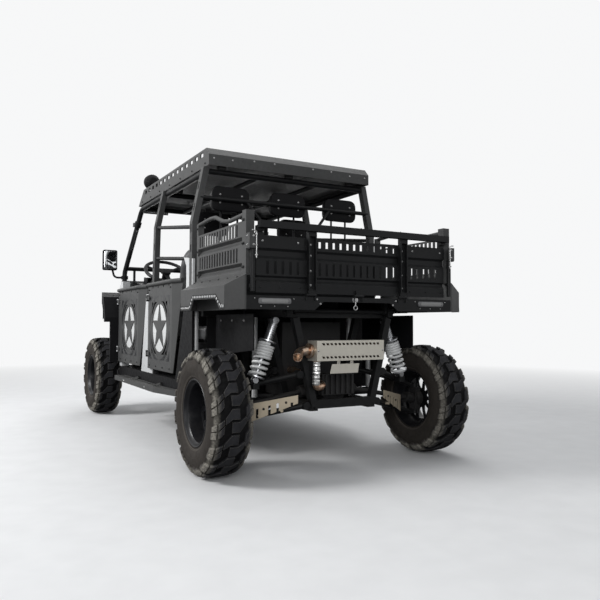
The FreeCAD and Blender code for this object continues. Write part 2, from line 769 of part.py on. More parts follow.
def hinge_y(front_y):
    return front_y - 2


def ears(front_y, z, *arms):
    """The two ears of a body-side hinge at one height, on the arms given."""
    y = hinge_y(front_y)
    at = V(DOOR_HINGE_X, y, z - EAR_TOP)
    whole = fused(Part.makeCylinder(BARREL_R, 2 * EAR_TOP, at), *arms)
    gap = BARREL_HALF + SEAT_GAP
    whole = whole.cut(box(DOOR_X - 8, 760, y - 12, y + 12, z - gap, z + gap))
    return whole.cut(Part.makeCylinder(HINGE_ROD_R + RUN_GAP, 3 * EAR_TOP, V(DOOR_HINGE_X, y, z - 1.5 * EAR_TOP)))


def rear_hinge_arms():
    """The arms from the centre post to the rear door's hinges, at every height."""
    y = hinge_y(DOORS["rear"][0])
    face_y = B_POST_Y - POST_W / 2
    arms = []
    for z in HINGE_HEIGHTS:
        arms.append((z, (
            box(664, DOOR_HINGE_X, y - 8, y - 1, z - EAR_TOP, z + EAR_TOP),
            box(664, 694, y - 8, face_y + 5, z - EAR_TOP, z + EAR_TOP),
        )))
    return arms


def grown(arms, x0, x1):
    """Clearance for the arms through a sheet between two values of X."""
    y = hinge_y(DOORS["rear"][0])
    return Part.makeCompound([
        box(x0, x1, y - 9, y + 1, z - EAR_TOP - 1, z + EAR_TOP + 1) for z, _ in arms])


QUARTER_Y = 860.0
QUARTER_Z = 1010.0


def cab_panels():
    """White panels: cowl, centre post base and the quarter round the rear post's foot."""
    x0, x1 = SIDE_X - 8, SIDE_X + 8
    low = SILL_TOP_Z + SEAT_GAP
    outline = [(QUARTER_Y, QUARTER_Z), (985, QUARTER_Z), (985, 1262), (812, 1284), (862, 1226), (866, 1140)]
    rear = prism("x", outline, x0, x1)
    post_gap = POST_W / 2 + SEAT_GAP
    rear = rear.cut(box(600, 800, C_POST_Y - post_gap, C_POST_Y + post_gap, BASE_Z - 4, 1300))
    face = B_POST[0][0] + SEAT_GAP
    middle = prism("x", [(-236, low), (80, low), (80, 1075), (-110, 1075)], face, face + 2)
    middle = middle.cut(grown(rear_hinge_arms(), face - 1, face + 3))
    cowl = fused(box(640, 704, -940, -866, low, COWL_TOP_Z), *[
        ears(-942, z, box(650, DOOR_HINGE_X, hinge_y(-942) - 8, hinge_y(-942) - 1, z - EAR_TOP, z + EAR_TOP),
             box(650, 703, hinge_y(-942) - 8, -930, z - EAR_TOP, z + EAR_TOP))
        for z in HINGE_HEIGHTS])
    return Part.makeCompound([s for p in (rear, middle, cowl) for s in (p, flip(p))])


def rear_wall():
    return box(-CAB_HALF, CAB_HALF, 960.3, 968, RAIL_TOP_Z + SEAT_GAP, 1120)


# Seats

SEAT_W = 500.0
SEAT_SIDE_GAP = 10.0
BASE_INSET = 20.0
FRONT_SEAT_Z = 700.0
REAR_SEAT_Z = 720.0
CUSHION_T = 120.0
SEAT_X = CAB_HALF - SEAT_SIDE_GAP - SEAT_W / 2
BENCH_HALF = CAB_HALF - SEAT_SIDE_GAP
FRONT_BACK_Y = 95.0
BENCH_BACK_Y = 845.0


def seat_bases():
    """The boxes under the seats, closed as they are on the floor."""
    half = SEAT_W / 2 - BASE_INSET
    made = [box(x - half, x + half, -380, FRONT_BACK_Y + 110, FLOOR_Z + SEAT_GAP, FRONT_SEAT_Z)
            for x in (SEAT_X, -SEAT_X)]
    half = BENCH_HALF - BASE_INSET / 2
    made.append(box(-half, half, 440, BENCH_BACK_Y + 100, FLOOR_Z + SEAT_GAP, REAR_SEAT_Z))
    return Part.makeCompound(made)


def seat_cushions():
    low, half = FRONT_SEAT_Z + SEAT_GAP, SEAT_W / 2
    made = [box(x - half, x + half, -420, FRONT_BACK_Y - SEAT_GAP, low, low + CUSHION_T)
            for x in (SEAT_X, -SEAT_X)]
    low = REAR_SEAT_Z + SEAT_GAP
    made.append(box(-BENCH_HALF, BENCH_HALF, 400, BENCH_BACK_Y - SEAT_GAP, low, low + CUSHION_T))
    return Part.makeCompound(made)


FRONT_BACK_TOP_Z = 1440.0
BENCH_BACK_TOP_Z = 1400.0
PAD_X = 430.0
PAD_POST_X = 60.0
PAD_POST_R = 7.0


def seat_backs():
    low, y = FRONT_SEAT_Z + SEAT_GAP, FRONT_BACK_Y
    outline = [(y, low), (y + 105, low), (y + 295, FRONT_BACK_TOP_Z), (y + 195, FRONT_BACK_TOP_Z)]
    made = [prism("x", outline, x - SEAT_W / 2, x + SEAT_W / 2) for x in (SEAT_X, -SEAT_X)]
    low, y = REAR_SEAT_Z + SEAT_GAP, BENCH_BACK_Y
    outline = [(y, low), (y + 95, low), (y + 93, BENCH_BACK_TOP_Z), (y + 35, BENCH_BACK_TOP_Z)]
    made.append(prism("x", outline, -BENCH_HALF, BENCH_HALF))
    return Part.makeCompound(made)


def headrests():
    """Two pads on the front seats and three above the bench, each on two posts."""
    made = []
    for x in (SEAT_X, -SEAT_X):
        pad = box(x - 130, x + 130, 315, 395, 1500, 1680)
        posts = [rod((x + s, 345, FRONT_BACK_TOP_Z + SEAT_GAP), (x + s, 345, 1510), PAD_POST_R)
                 for s in (-PAD_POST_X, PAD_POST_X)]
        made.append(fused(pad, *posts))
    for x in (-PAD_X, 0, PAD_X):
        pad = box(x - 140, x + 140, 880, 945, 1588, 1758)
        posts = [rod((x + s, 910, BENCH_BACK_TOP_Z + SEAT_GAP), (x + s, 910, 1600), PAD_POST_R)
                 for s in (-PAD_POST_X, PAD_POST_X)]
        made.append(fused(pad, *posts))
    return Part.makeCompound(made)


# Front body

HOOD_FRONT_HALF = 560.0
HOOD_REAR_HALF = 690.0


def hood_plan(grow, low, high, rear_grow=0.0):
    front, rear = HOOD_FRONT_HALF + grow, HOOD_REAR_HALF + grow
    y0, y1 = HOOD_FRONT_Y - grow, HOOD_REAR_Y + rear_grow
    return prism("z", [(-front, y0), (front, y0), (rear, y1), (-rear, y1)], low, high)


def hood():
    """An open shell with a folded crown, its skirt hanging over the front frame."""
    def block(wall):
        crown = [(HOOD_FRONT_Y - 10, 900), (HOOD_FRONT_Y - 10, 1040 - wall),
                 (HOOD_CREASE[0], HOOD_CREASE[1] - wall), (HOOD_REAR_Y, HOOD_TOP_Z - wall),
                 (HOOD_REAR_Y + 40, HOOD_TOP_Z + 8 - wall), (HOOD_REAR_Y + 40, 900)]
        return hood_plan(-wall, 900, 1300, wall).common(prism("x", crown, -800, 800))
    raised = block(0)
    raised.translate(V(0, 0, HOOD_RISE))
    raised = raised.common(prism("z", [(-250, -1800), (250, -1800), (330, -960), (-330, -960)], 1050, 1300))
    shell = fused(block(0), raised).cut(block(HOOD_WALL))
    return shell.cut(box(-800, 800, -1900, -800, 800, 955))


FENDER_EDGE = 838.0
FENDER_SHEET = 6.0
FENDER_SKIRT = 78.0


def fender_plan(inset):
    """The arch from above: its outer edge runs in towards the front."""
    y = FRONT_AXLE_Y
    edge = FENDER_EDGE - inset
    outline = [(540, y - 400), (675 - inset, y - 400), (edge - 30, y + 180), (edge, y + 330), (edge, y + 480)]
    return prism("z", outline + [(540, y + 480)], 400, 1300)


def front_fenders():
    """Wheel arches with turned-down edges, and a mud panel behind each wheel."""
    y = FRONT_AXLE_Y
    top = [(y + 470, 500), (y + 470, 900), (y + 400, 1085), (y + 200, 1135), (y - 300, 1060), (y - 372, 900)]
    under = [(y - 360, 896), (y - 292, 1050), (y + 198, 1124), (y + 392, 1076), (y + 440, 880), (y + 440, 500)]
    whole = prism("x", top, 545, 900).common(fender_plan(0))
    hollow = prism("x", under, 500, 900)
    skirt = whole.cut(fender_plan(FENDER_SHEET))
    skirt_low = [(x, z - FENDER_SKIRT) for x, z in top[1:]]
    skirt = skirt.cut(prism("x", [(y + 439, 400), (y + 439, 820)] + skirt_low[1:] + [(y - 380, 400)], 500, 900))
    arch = fused(prism("x", top + under, 545, 900).common(fender_plan(0)), skirt.common(hollow))
    arch = arch.cut(hood_plan(SEAT_GAP, 900, 1300))
    arch = arch.cut(box(790, 900, y + 400, y + 500, 400, 860))
    return pair(arch.cut(box(400, 620, y + 400, y + 500, 400, 960)))


GRILLE_Y = -1747.0
BUMPER_LOW_Z = 430.0


def front_bumper():
    y, back = FRONT_Y + 20, GRILLE_Y - 8 - SEAT_GAP
    pieces = [
        bent_tube([(-380, back, 780), (-380, y, 780), (380, y, 780), (380, back, 780)], 20, 50),
        rod((-310, y, BUMPER_LOW_Z), (310, y, BUMPER_LOW_Z), 20),
    ]
    pieces += both(
        rod((280, y, BUMPER_LOW_Z), (280, y, 780), 18),
        rod((150, y, BUMPER_LOW_Z), (150, -1765 - SEAT_GAP, BUMPER_LOW_Z), 16),
    )
    return fused(*pieces)


def grille():
    panel = prism("y", [(-540, 640), (540, 640), (555, 954.7), (-555, 954.7)], GRILLE_Y - 8, GRILLE_Y)
    slots = [box(x - 18, x + 18, -1760, -1740, 690, 900) for x in spread(-300, 300, 9)]
    return panel.cut(Part.makeCompound(slots))


LAMP_R = 65.0
ROOF_LAMP_X = 545.0
ROOF_LAMP_Y = -482.0
ROOF_LAMP_Z = 2064.0


def lamps():
    """Round driving lamps with bowl backs, two in the grille and two on the roof's front."""
    made = []
    bowl = [(0, 0), (0, 34), (12, 54), (34, LAMP_R - 2), (40, LAMP_R), (58, LAMP_R), (58, LAMP_R - 7),
            (52, LAMP_R - 9), (52, 0)]

    def lamp(x, rear_y, z, depth):
        points = [V(x + r, rear_y - a * depth, z) for a, r in bowl]
        face = Part.Face(Part.makePolygon(points + points[:1]))
        return face.revolve(V(x, rear_y, z), V(0, -1, 0), 360)

    foot = ROOF_SHEET_Z + 6 + SEAT_GAP
    post_y = ROOF_LAMP_Y - 18
    for side in (-1, 1):
        made.append(lamp(side * 455, GRILLE_Y - 8 - SEAT_GAP, 884, 0.6))
        made.append(lamp(side * ROOF_LAMP_X, ROOF_LAMP_Y, ROOF_LAMP_Z, 1.5))
        made.append(rod((side * ROOF_LAMP_X, post_y, foot), (side * ROOF_LAMP_X, post_y, ROOF_LAMP_Z - 30), 9))
    return fused(*made)


STEER_WHEEL_C = (400.0, -590.0, 1300.0)
STEER_WHEEL_R = 175.0
COLUMN_WAY = V(0, 2, 3).normalize()
HUB_BACK = 20.0
COLUMN_LENGTH = 240.0


def dashboard():
    """The dash with a gauge hood ahead of the wheel, an open pocket on the other side, and the column."""
    outline = [(-915, 900), (-915, 1180), (-860, 1210), (-740, 1190), (-680, 1100), (-760, 930)]
    body = prism("x", outline, -590, 590)
    x, y, z = STEER_WHEEL_C
    hood = prism("x", [(-870, 1195), (-850, 1262), (-735, 1250), (-752, 1180)], x - 120, x + 120)
    face = prism("x", [(-760, 1196), (-752, 1240), (-720, 1240), (-720, 1196)], x - 108, x + 108)
    pocket = prism("x", [(-820, 1120), (-820, 1040), (-600, 1040), (-600, 1140)], -500, -140)
    column = rod(V(x, y, z) - COLUMN_WAY * (HUB_BACK + SEAT_GAP), V(x, y, z) - COLUMN_WAY * COLUMN_LENGTH, 24)
    ends, out = (-740, 1150), (-650, 1165)
    rail = bent_tube([(-510, *ends), (-510, *out), (-130, *out), (-130, *ends)], 11, 30)
    return fused(body.cut(pocket), hood.cut(face), column, rail)


def steering_wheel():
    """A rim, three spokes and a hub, drawn flat and then laid on the column."""
    ring = Part.makeTorus(STEER_WHEEL_R, 15)
    pieces = [ring, Part.makeCylinder(45, 30, V(0, 0, -HUB_BACK))]
    for angle in (90, 210, 330):
        a = math.radians(angle)
        tip = V(math.cos(a) * STEER_WHEEL_R, math.sin(a) * STEER_WHEEL_R, 0)
        pieces.append(bar((0, 0, -5), tuple(tip), 34, 8))
    wheel = fused(*pieces)
    wheel.Placement = FreeCAD.Placement(V(*STEER_WHEEL_C), FreeCAD.Rotation(V(0, 0, 1), COLUMN_WAY))
    return wheel


# Doors

FOLD_SLOPE = 0.21
NOTCH_W = 18.0
CORNER_HALF = 190.0
CORNER_R = 197.0
RIB_R = (221.0, 231.0)


def star_cut(y, z, x0, x1):
    """The five spaces between a star's arms and the circle round it."""
    inner = STAR_R * 0.382
    points = []
    for n in range(10):
        radius = STAR_R + 2 if n % 2 == 0 else inner
        a = math.radians(90 + 36 * n)
        points.append((y + radius * math.cos(a), z + radius * math.sin(a)))
    star = prism("x", points, x0 - 5, x1 + 5)
    return disc_x(STAR_R, x0, x1, y, z).cut(star)


DOOR_FRAME = 24.0
DOOR_FRAME_IN = 10.0
DOOR_FRAME_T = 12.0
NOTCHES = 4


def corner_cuts(y, z, x0, x1):
    """The curved slots between a star's circle and the square round it, each split by a rib."""
    half = CORNER_HALF
    square = box(x0, x1, y - half, y + half, z - half, z + half)
    rib = disc_x(RIB_R[1], x0 - 1, x1 + 1, y, z).cut(disc_x(RIB_R[0], x0 - 2, x1 + 2, y, z))
    return square.cut(disc_x(CORNER_R, x0 - 1, x1 + 1, y, z)).cut(rib)


def door(which):
    """A left door: a folded sheet on a frame behind it, with a tube along its top."""
    front, fold, rear_top, rear_low, star_y = DOORS[which]
    x1, x0 = DOOR_X, DOOR_X - DOOR_SHEET
    reach = rear_top + 20 - fold
    turn_in = FOLD_SLOPE * reach
    sheet = prism("z", [(x0, front), (x1, front), (x1, fold), (x1 - turn_in, fold + reach),
                        (x0 - turn_in, fold + reach), (x0, fold)], DOOR_LOW_Z, DOOR_TOP_Z)
    low, top = DOOR_LOW_Z, DOOR_TOP_Z
    side = prism("x", [(front, low), (rear_low, low), (rear_top, top), (front, top)], 600, 800)
    sheet = sheet.common(side)
    cuts = [star_cut(star_y, STAR_Z, x0 - 20, x1 + 20), corner_cuts(star_y, STAR_Z, x0 - 20, x1 + 20)]
    notch_top = DOOR_TOP_Z - DOOR_TUBE_R + 1
    for y in spread(front + 60, fold, NOTCHES):
        cuts.append(box(x0 - 5, x1 + 5, y - NOTCH_W / 2, y + NOTCH_W / 2, notch_top - 18, notch_top))
    sheet = sheet.cut(Part.makeCompound(cuts))
    back, face, wide = x0 - DOOR_FRAME_T, x0 + 1, DOOR_FRAME
    low, top = DOOR_LOW_Z + DOOR_FRAME_IN, DOOR_TOP_Z - 36
    left, right, turn = front + 70, rear_low - 20, fold - DOOR_FRAME_IN
    rails = [
        box(back, face, left, right, low, low + wide),
        box(back, face, left, right, top - wide, top),
        box(back, face, left, left + wide, low, top),
        box(back, face, turn - wide, turn, low, top),
    ]
    tube_x = x1 + 5
    tube = bent_tube([(tube_x, front + 10, DOOR_TOP_Z), (tube_x, fold, DOOR_TOP_Z),
                      (tube_x - FOLD_SLOPE * (rear_top - fold), rear_top, DOOR_TOP_Z)], DOOR_TUBE_R, 120)
    y = hinge_y(front)
    for z in HINGE_HEIGHTS:
        at = V(DOOR_HINGE_X, y, z)
        rails.append(Part.makeCylinder(BARREL_R, 2 * BARREL_HALF, at - V(0, 0, BARREL_HALF)))
        rails.append(Part.makeCylinder(HINGE_ROD_R, 2 * EAR_TOP, at - V(0, 0, EAR_TOP)))
        rails.append(box(x1 - 1, DOOR_HINGE_X + 2, y, front + 55, z - BARREL_HALF, z + BARREL_HALF))
    return fused(sheet, tube, *rails)


def door_backing(which):
    """A white plate behind a door's star."""
    star_y = DOORS[which][-1]
    x = DOOR_X - DOOR_SHEET - SEAT_GAP
    return disc_x(STAR_R + 14, x - 2, x, star_y, STAR_Z)


# Bed

def bed_tub():
    """The bed's floor on two channels, its front wall and its rear skirt."""
    low, z = BED_FLOOR_Z - 6, BED_FLOOR_Z
    x, y = UPPER_RAIL_X, BED_HINGE_Y
    pieces = [
        box(-SIDE_X, SIDE_X, BED_FRONT_Y, BED_REAR_Y - 6, low, z),
        box(-SIDE_X + 38.3, SIDE_X - 38.3, BED_FRONT_Y, BED_FRONT_Y + 6, z, 1330),
        prism("y", [(-SIDE_X, BED_LOW_Z), (-286, BED_LOW_Z), (-230, 972), (230, 972), (286, BED_LOW_Z),
                    (SIDE_X, BED_LOW_Z), (SIDE_X, z), (-SIDE_X, z)], BED_REAR_Y - 6, BED_REAR_Y),
    ]
    pieces += both(
        box(x - 20, x + 20, BED_FRONT_Y + 20, y - 30, UPPER_RAIL_TOP + SEAT_GAP, low),
        box(x - 44, x - 28, y - 20, y + 20, BED_HINGE_Z, low),
        disc_x(20, x - 44, x - 28, y, BED_HINGE_Z),
    )
    bore = rod((-500, y, BED_HINGE_Z), (500, y, BED_HINGE_Z), HINGE_PIN_R + RUN_GAP)
    for x in GATE_HINGES:
        for side in (-1, 1):
            near, far = sorted((x + side * 24.3, x + side * 32))
            pieces.append(disc_x(GATE_BARREL_R, near, far, GATE_HINGE_Y, GATE_HINGE_Z))
            pieces.append(box(near, far, BED_REAR_Y - 2, GATE_HINGE_Y, GATE_HINGE_Z - 30, GATE_HINGE_Z))
    gate_bore = disc_x(HINGE_ROD_R + RUN_GAP, -400, 400, GATE_HINGE_Y, GATE_HINGE_Z)
    return fused(*pieces).cut(bore).cut(gate_bore)


SIDE_SHEET = 5.0
SIDE_FOLD = 22.0
SIDE_POST_W = 30.0
SIDE_SLOTS = 15
SIDE_SLOT_ROWS = ((1318.0, 1383.0), (1180.0, 1256.0))
SIDE_TUBE = (
    # Y behind the bed's front, Z
    (15.0, 1466.0),
    (210.0, 1478.0),
    (291.0, 1474.0),
    (417.0, 1433.0),
    (506.0, 1423.0),
)
SIDE_FRONT_Z = 1470.0
SIDE_LATCH_Y = BED_REAR_Y + 36
SIDE_LATCH_Z = (1245.0, 1324.0)


def bed_sides():
    """The folded, slotted side panels with bumped top tubes, end posts and rear latch plates."""
    x1, x0 = SIDE_X, SIDE_X - SIDE_FOLD
    y0, y1 = BED_FRONT_Y, BED_REAR_Y - SIDE_POST_W
    line = [(x1, 1395), (x1, 1310), (x0, 1296), (x0, 1288), (x1, 1264), (x1, 1172), (x0, 1158), (x0, 1150),
            (x1, 1126), (x1, SIDE_LOW_Z)]
    panel = prism("y", folded(line, SIDE_SHEET), y0, y1)
    slots = []
    for y in spread(y0 + 40, y1 - 80, SIDE_SLOTS):
        for low, high in SIDE_SLOT_ROWS:
            slots.append(box(x0 - 5, x1 + 5, y - 10, y + 10, low, high))
    panel = panel.cut(Part.makeCompound(slots))
    tube_x = x1 - 12
    tube = bent_tube([(tube_x, y0 + y, z) for y, z in SIDE_TUBE] + [(tube_x, y1 - 20, 1432)], 12, 60)
    rod_x, rod_y = x1 - 28, BED_REAR_Y + 15
    latch_low, latch_top = SIDE_LATCH_Z
    ends = [
        box(x1 - 38, x1, y0, y0 + 24, SIDE_LOW_Z, SIDE_FRONT_Z),
        box(x1 - 48, x1, y1 - 30, y1 + 20, SIDE_LOW_Z, SIDE_END_Z),
        box(x1 - 4, x1, y1 + 19, SIDE_LATCH_Y, latch_low, latch_top),
        box(x1 - 46, x1, SIDE_LATCH_Y - 4, SIDE_LATCH_Y, latch_low, latch_top),
        rod((rod_x, rod_y, BED_FLOOR_Z + 20), (rod_x, rod_y, latch_low + 1), 13),
        box(rod_x, x1 - 2, BED_REAR_Y + 5, SIDE_LATCH_Y - 2, latch_low - 5, latch_low + 5),
    ]
    for z in (1050, 1210):
        ends.append(box(rod_x - 8, rod_x + 8, y1 + 19, rod_y, z - 10, z + 10))
    return pair(fused(panel, tube, *ends))


BED_FENDER_Y = 1060.0
BED_FENDER_WALL = 6.0


def bed_fenders():
    """The boxes along the bed's sides above the wheels, open below, with a slanted rear corner."""
    y0, y1, y2, wall = BED_FENDER_Y, BED_REAR_Y - 40, BED_REAR_Y, BED_FENDER_WALL
    x0, x1, low = SIDE_X + SEAT_GAP, FENDER_X, BED_LOW_Z
    crown = [(x0, 1112), (x1, 1051), (x1, low), (x0, low)]
    room = [(x0 + wall, 1100), (x1 - wall, 1045), (x1 - wall, low - 10), (x0 + wall, low - 10)]
    plan = [(x0, y0), (x1, y0), (x1, y1), (x0 + 10, y2), (x0, y2)]
    inside = [(x0 + wall, y0 + wall), (x1 - wall, y0 + wall), (x1 - wall, y1 - 4), (x0 + 12, y2 - 9),
              (x0 + wall, y2 - 9)]
    whole = prism("z", plan, 900, 1200).common(prism("y", crown, y0, y2))
    whole = whole.cut(prism("z", inside, 900, 1200).common(prism("y", room, y0, y2)))
    arch = prism("x", [(1233, 920), (1284, 987), (1634, 982), (1707, 920)], SIDE_X + 20, x1 + 10)
    return pair(whole.cut(arch))


def rear_lamps():
    return pair(box(437, 633, BED_REAR_Y + SEAT_GAP, BED_REAR_Y + 12, 955, 987))


GATE_SHEET = 5.0
GATE_FOLD = 12.0
GATE_SLOTS = 26
GATE_SLOT_W = 17.0
GATE_SLOT_ROWS = ((1270.0, 1305.0), (1116.0, 1186.0))
GATE_POST_X = 315.0
GATE_POST_W = 50.0
GATE_POST_WALL = 6.0
GATE_POST_DEEP = 30.0
BAR_FRONT_Y = 1817.0
BAR_DEEP = 38.0
BAR_LOW_Z = 1355.0
BAR_TOP_Z = 1392.0


def tailgate():
    """The drop-down gate: folded and slotted sheet, two channel posts and the bar above."""
    y0, y1 = GATE_FRONT_Y, GATE_FRONT_Y + GATE_T
    deep = y1 - GATE_FOLD
    line = [(y1, GATE_TOP_Z), (y1, 1252), (deep, 1240), (deep, 1212), (y1, 1196), (y1, 1106), (deep, 1096),
            (deep, 1084), (y1, 1070), (y1, GATE_LOW_Z)]
    panel = prism("x", folded(line, GATE_SHEET), -GATE_HALF, GATE_HALF)
    slots = []
    half = GATE_SLOT_W / 2
    for x in spread(-GATE_HALF + 45, GATE_HALF - 45, GATE_SLOTS):
        if abs(abs(x) - GATE_POST_X) > GATE_POST_W / 2 + 13:
            for low, high in GATE_SLOT_ROWS:
                slots.append(box(x - half, x + half, y0 - 5, y1 + 5, low, high))
    panel = panel.cut(Part.makeCompound(slots))
    x0, x1, end = GATE_POST_X - GATE_POST_W / 2, GATE_POST_X + GATE_POST_W / 2, GATE_HALF
    wall, reach, low, top = GATE_POST_WALL, y1 + GATE_POST_DEEP, 1035, BAR_LOW_Z + 5
    pieces = both(
        box(x0, x1, y1 - 1, y1 + 4, low, top),
        box(x0, x0 + wall, y1 - 1, reach, low, top),
        box(x1 - wall, x1, y1 - 1, reach, low, top),
        box(x0, x1, y1 + 10, reach, top - 30, top),
        box(end - 40, end, y0, y1, GATE_TOP_Z - 20, BAR_LOW_Z + 15),
        box(end - 40, end, y0, BAR_FRONT_Y + 3, BAR_LOW_Z - 15, BAR_LOW_Z + 15),
        box(x1 + 15, end, y1 - 1, y1 + 5, 1252, 1318),
    )
    pieces.append(box(-end, end, BAR_FRONT_Y, BAR_FRONT_Y + BAR_DEEP, BAR_LOW_Z, BAR_TOP_Z))
    for x in GATE_HINGES:
        pieces.append(disc_x(GATE_BARREL_R, x - 24, x + 24, GATE_HINGE_Y, GATE_HINGE_Z))
        pieces.append(disc_x(HINGE_ROD_R, x - 32, x + 32, GATE_HINGE_Y, GATE_HINGE_Z))
        pieces.append(box(x - 20, x + 20, y1 - 1, GATE_HINGE_Y + 4, GATE_HINGE_Z, 1040))
    return fused(panel, *pieces)


# Outside fittings

STEP_X = 797.0
STEP_Z = 392.0
STEP_W = 36.0
STEP_FRONT_Y = -650.0
STEP_BEND_Y = 500.0
STEP_IN_X = 735.0
STEP_ARMS = (-330.0, 280.0)
TREAD_T = 5.0
TREAD_HOLES = 15


def side_steps():
    """A square step tube that turns in at the rear, a tread plate along it and two raised arms."""
    z, w, x1 = STEP_Z, STEP_W, STEP_X
    bend = (x1, STEP_BEND_Y, z)
    tubes = [bar((x1, STEP_FRONT_Y, z), (x1, STEP_BEND_Y + 4, z), w, w), bar(bend, (STEP_IN_X, 810, z), w, w)]
    top, inner = z + w / 2, STEP_IN_X
    plan = [(inner, STEP_FRONT_Y + 40), (x1, STEP_FRONT_Y + 40), (x1, STEP_BEND_Y), (inner + 11, 740),
            (inner - 13, 740), (inner, STEP_BEND_Y - 20)]
    tread = prism("z", plan, top - TREAD_T, top)
    holes = []
    for y in spread(STEP_FRONT_Y + 60, STEP_BEND_Y - 30, TREAD_HOLES):
        holes.append(box(inner + 12, inner + 42, y - 22, y + 22, top - 10, top + 5))
    arms = []
    for y in STEP_ARMS:
        arms.append(bar((x1 - 30, y, z), (SILL_X + SEAT_GAP + 3, y + 75, z + 28), 34, 14))
    feet = fused(*arms).common(box(SILL_X + SEAT_GAP, 900, -900, 900, 300, 600))
    return pair(fused(*tubes, tread.cut(Part.makeCompound(holes)), *feet.Solids))


def mirrors():
    """A rounded outside mirror on a clamp round each front post, and the wide one inside."""
    head = box(745, 868, -950, -915, 1320, 1500)
    head = head.makeFillet(14, [e for e in head.Edges if abs(e.tangentAt(0).y) > 0.9])
    ring = Part.makeCylinder(CAGE_R + 9, 30, V(A_POST_X, A_POST_Y, 1240))
    stalk = bent_tube([(A_POST_X + 20, A_POST_Y, 1255), (770, -915, 1255), (785, -930, 1330)], 9, 40)
    bore = Part.makeCylinder(CAGE_R + SEAT_GAP, 40, V(A_POST_X, A_POST_Y, 1235))
    outside = fused(head, ring, stalk).cut(bore)
    tube_y = A_POST_TOP_Y + 20 - CAGE_R + 2 - SEAT_GAP
    glass = box(360, 575, tube_y - 42, tube_y - 26, 1812, 1856)
    inside = fused(glass, box(455, 485, tube_y - 30, tube_y, 1832, 1846))
    return Part.makeCompound([outside, flip(outside), inside])


MUFFLER_Y = 1705.0
MUFFLER_Z = 697.0
MUFFLER_R = 45.0
MUFFLER_X = (-195.0, 235.0)
PIPE_R = 21.0
PIPE_X = 160.0
RISER_X = 212.0
RISER_Y = 1690.0
ENGINE_REAR_Y = 1275.0


def exhaust():
    """The muffler, its flanged outlet, turned-back tip and the pipe from the engine."""
    y, z = MUFFLER_Y, MUFFLER_Z
    low, high = MUFFLER_X
    muffler = disc_x(MUFFLER_R, low, high, y, z)
    neck = disc_x(27, high - 5, high + 65, y, z)
    flange = disc_x(38, high + 17.5, high + 24, y, z)
    tip = bent_tube([(high + 55, y, z), (high + 95, y, z - 7), (high + 140, y + 65, z - 32)], 26, 40)
    bore = rod((high + 110, y + 22, z - 16), (high + 165, y + 101, z - 46), 22)
    route = [(PIPE_X, ENGINE_REAR_Y + SEAT_GAP, 560), (PIPE_X, ENGINE_REAR_Y + 60, 560),
             (PIPE_X, RISER_Y, 495), (RISER_X, RISER_Y, 482), (RISER_X, RISER_Y + 8, z - 20)]
    return fused(muffler, neck, flange, tip, bent_tube(route, PIPE_R, 60)).cut(bore)


SHIELD_X = (-210.0, 250.0)
SHIELD_Y = (1660.3, 1767.0)
SHIELD_Z = (640.0, 755.0)
SHIELD_WALL = 3.0
SHIELD_SLOTS = 15


def heat_shield():
    """A slotted box round the muffler, open ahead, with a plate hung below it."""
    x0, x1, z0, z1 = SHIELD_X[0], SHIELD_X[1], SHIELD_Z[0], SHIELD_Z[1]
    y0, y1, wall = SHIELD_Y[0], SHIELD_Y[1], SHIELD_WALL
    whole = box(x0, x1, y0, y1, z0, z1)
    inside = box(x0 + wall, x1 - wall, y0 - 5, y1 - wall, z0 + wall, z1 - wall)
    riser = Part.makeCylinder(PIPE_R + 6, 20, V(RISER_X, RISER_Y + 5, z0 - 10))
    cuts = [inside, riser, disc_x(30, x1 - 10, x1 + 10, MUFFLER_Y, MUFFLER_Z)]
    for x in spread(x0 + 30, x1 - 30, SHIELD_SLOTS):
        for z in (z0 + 14, z1 - 26):
            slanted = [(x - 11, z), (x + 5, z), (x + 11, z + 12), (x - 5, z + 12)]
            cuts.append(prism("y", slanted, y1 - 10, y1 + 5))
    hung_y = y1 - 30
    plate = prism("y", [(-42, 566), (148, 566), (134, 620), (-52, 620)], hung_y, hung_y + wall)
    stays = [box(x - 10, x + 10, hung_y, hung_y + wall, 615, z0 + 1) for x in (0, 90)]
    return fused(whole.cut(Part.makeCompound(cuts)), plate, *stays)


def bed_posts():
    foot = CROSS_TOP_Z + SEAT_GAP
    made = [rod((670, C_POST_Y, foot), (670, C_POST_Y, BASE_Z - SEAT_GAP), 18)]
    made.append(rod((UPPER_RAIL_X, 1167, foot), (UPPER_RAIL_X, 1167, UPPER_RAIL_Z - RAIL / 2 - SEAT_GAP), 18))
    return Part.makeCompound([s for m in made for s in (m, flip(m))])


GUARD = (
    # X, low Z, high Z
    (545.0, 281.0, 387.0),
    (300.0, 395.0, 443.0),
)
GUARD_OFF = 45.0
GUARD_T = 3.0


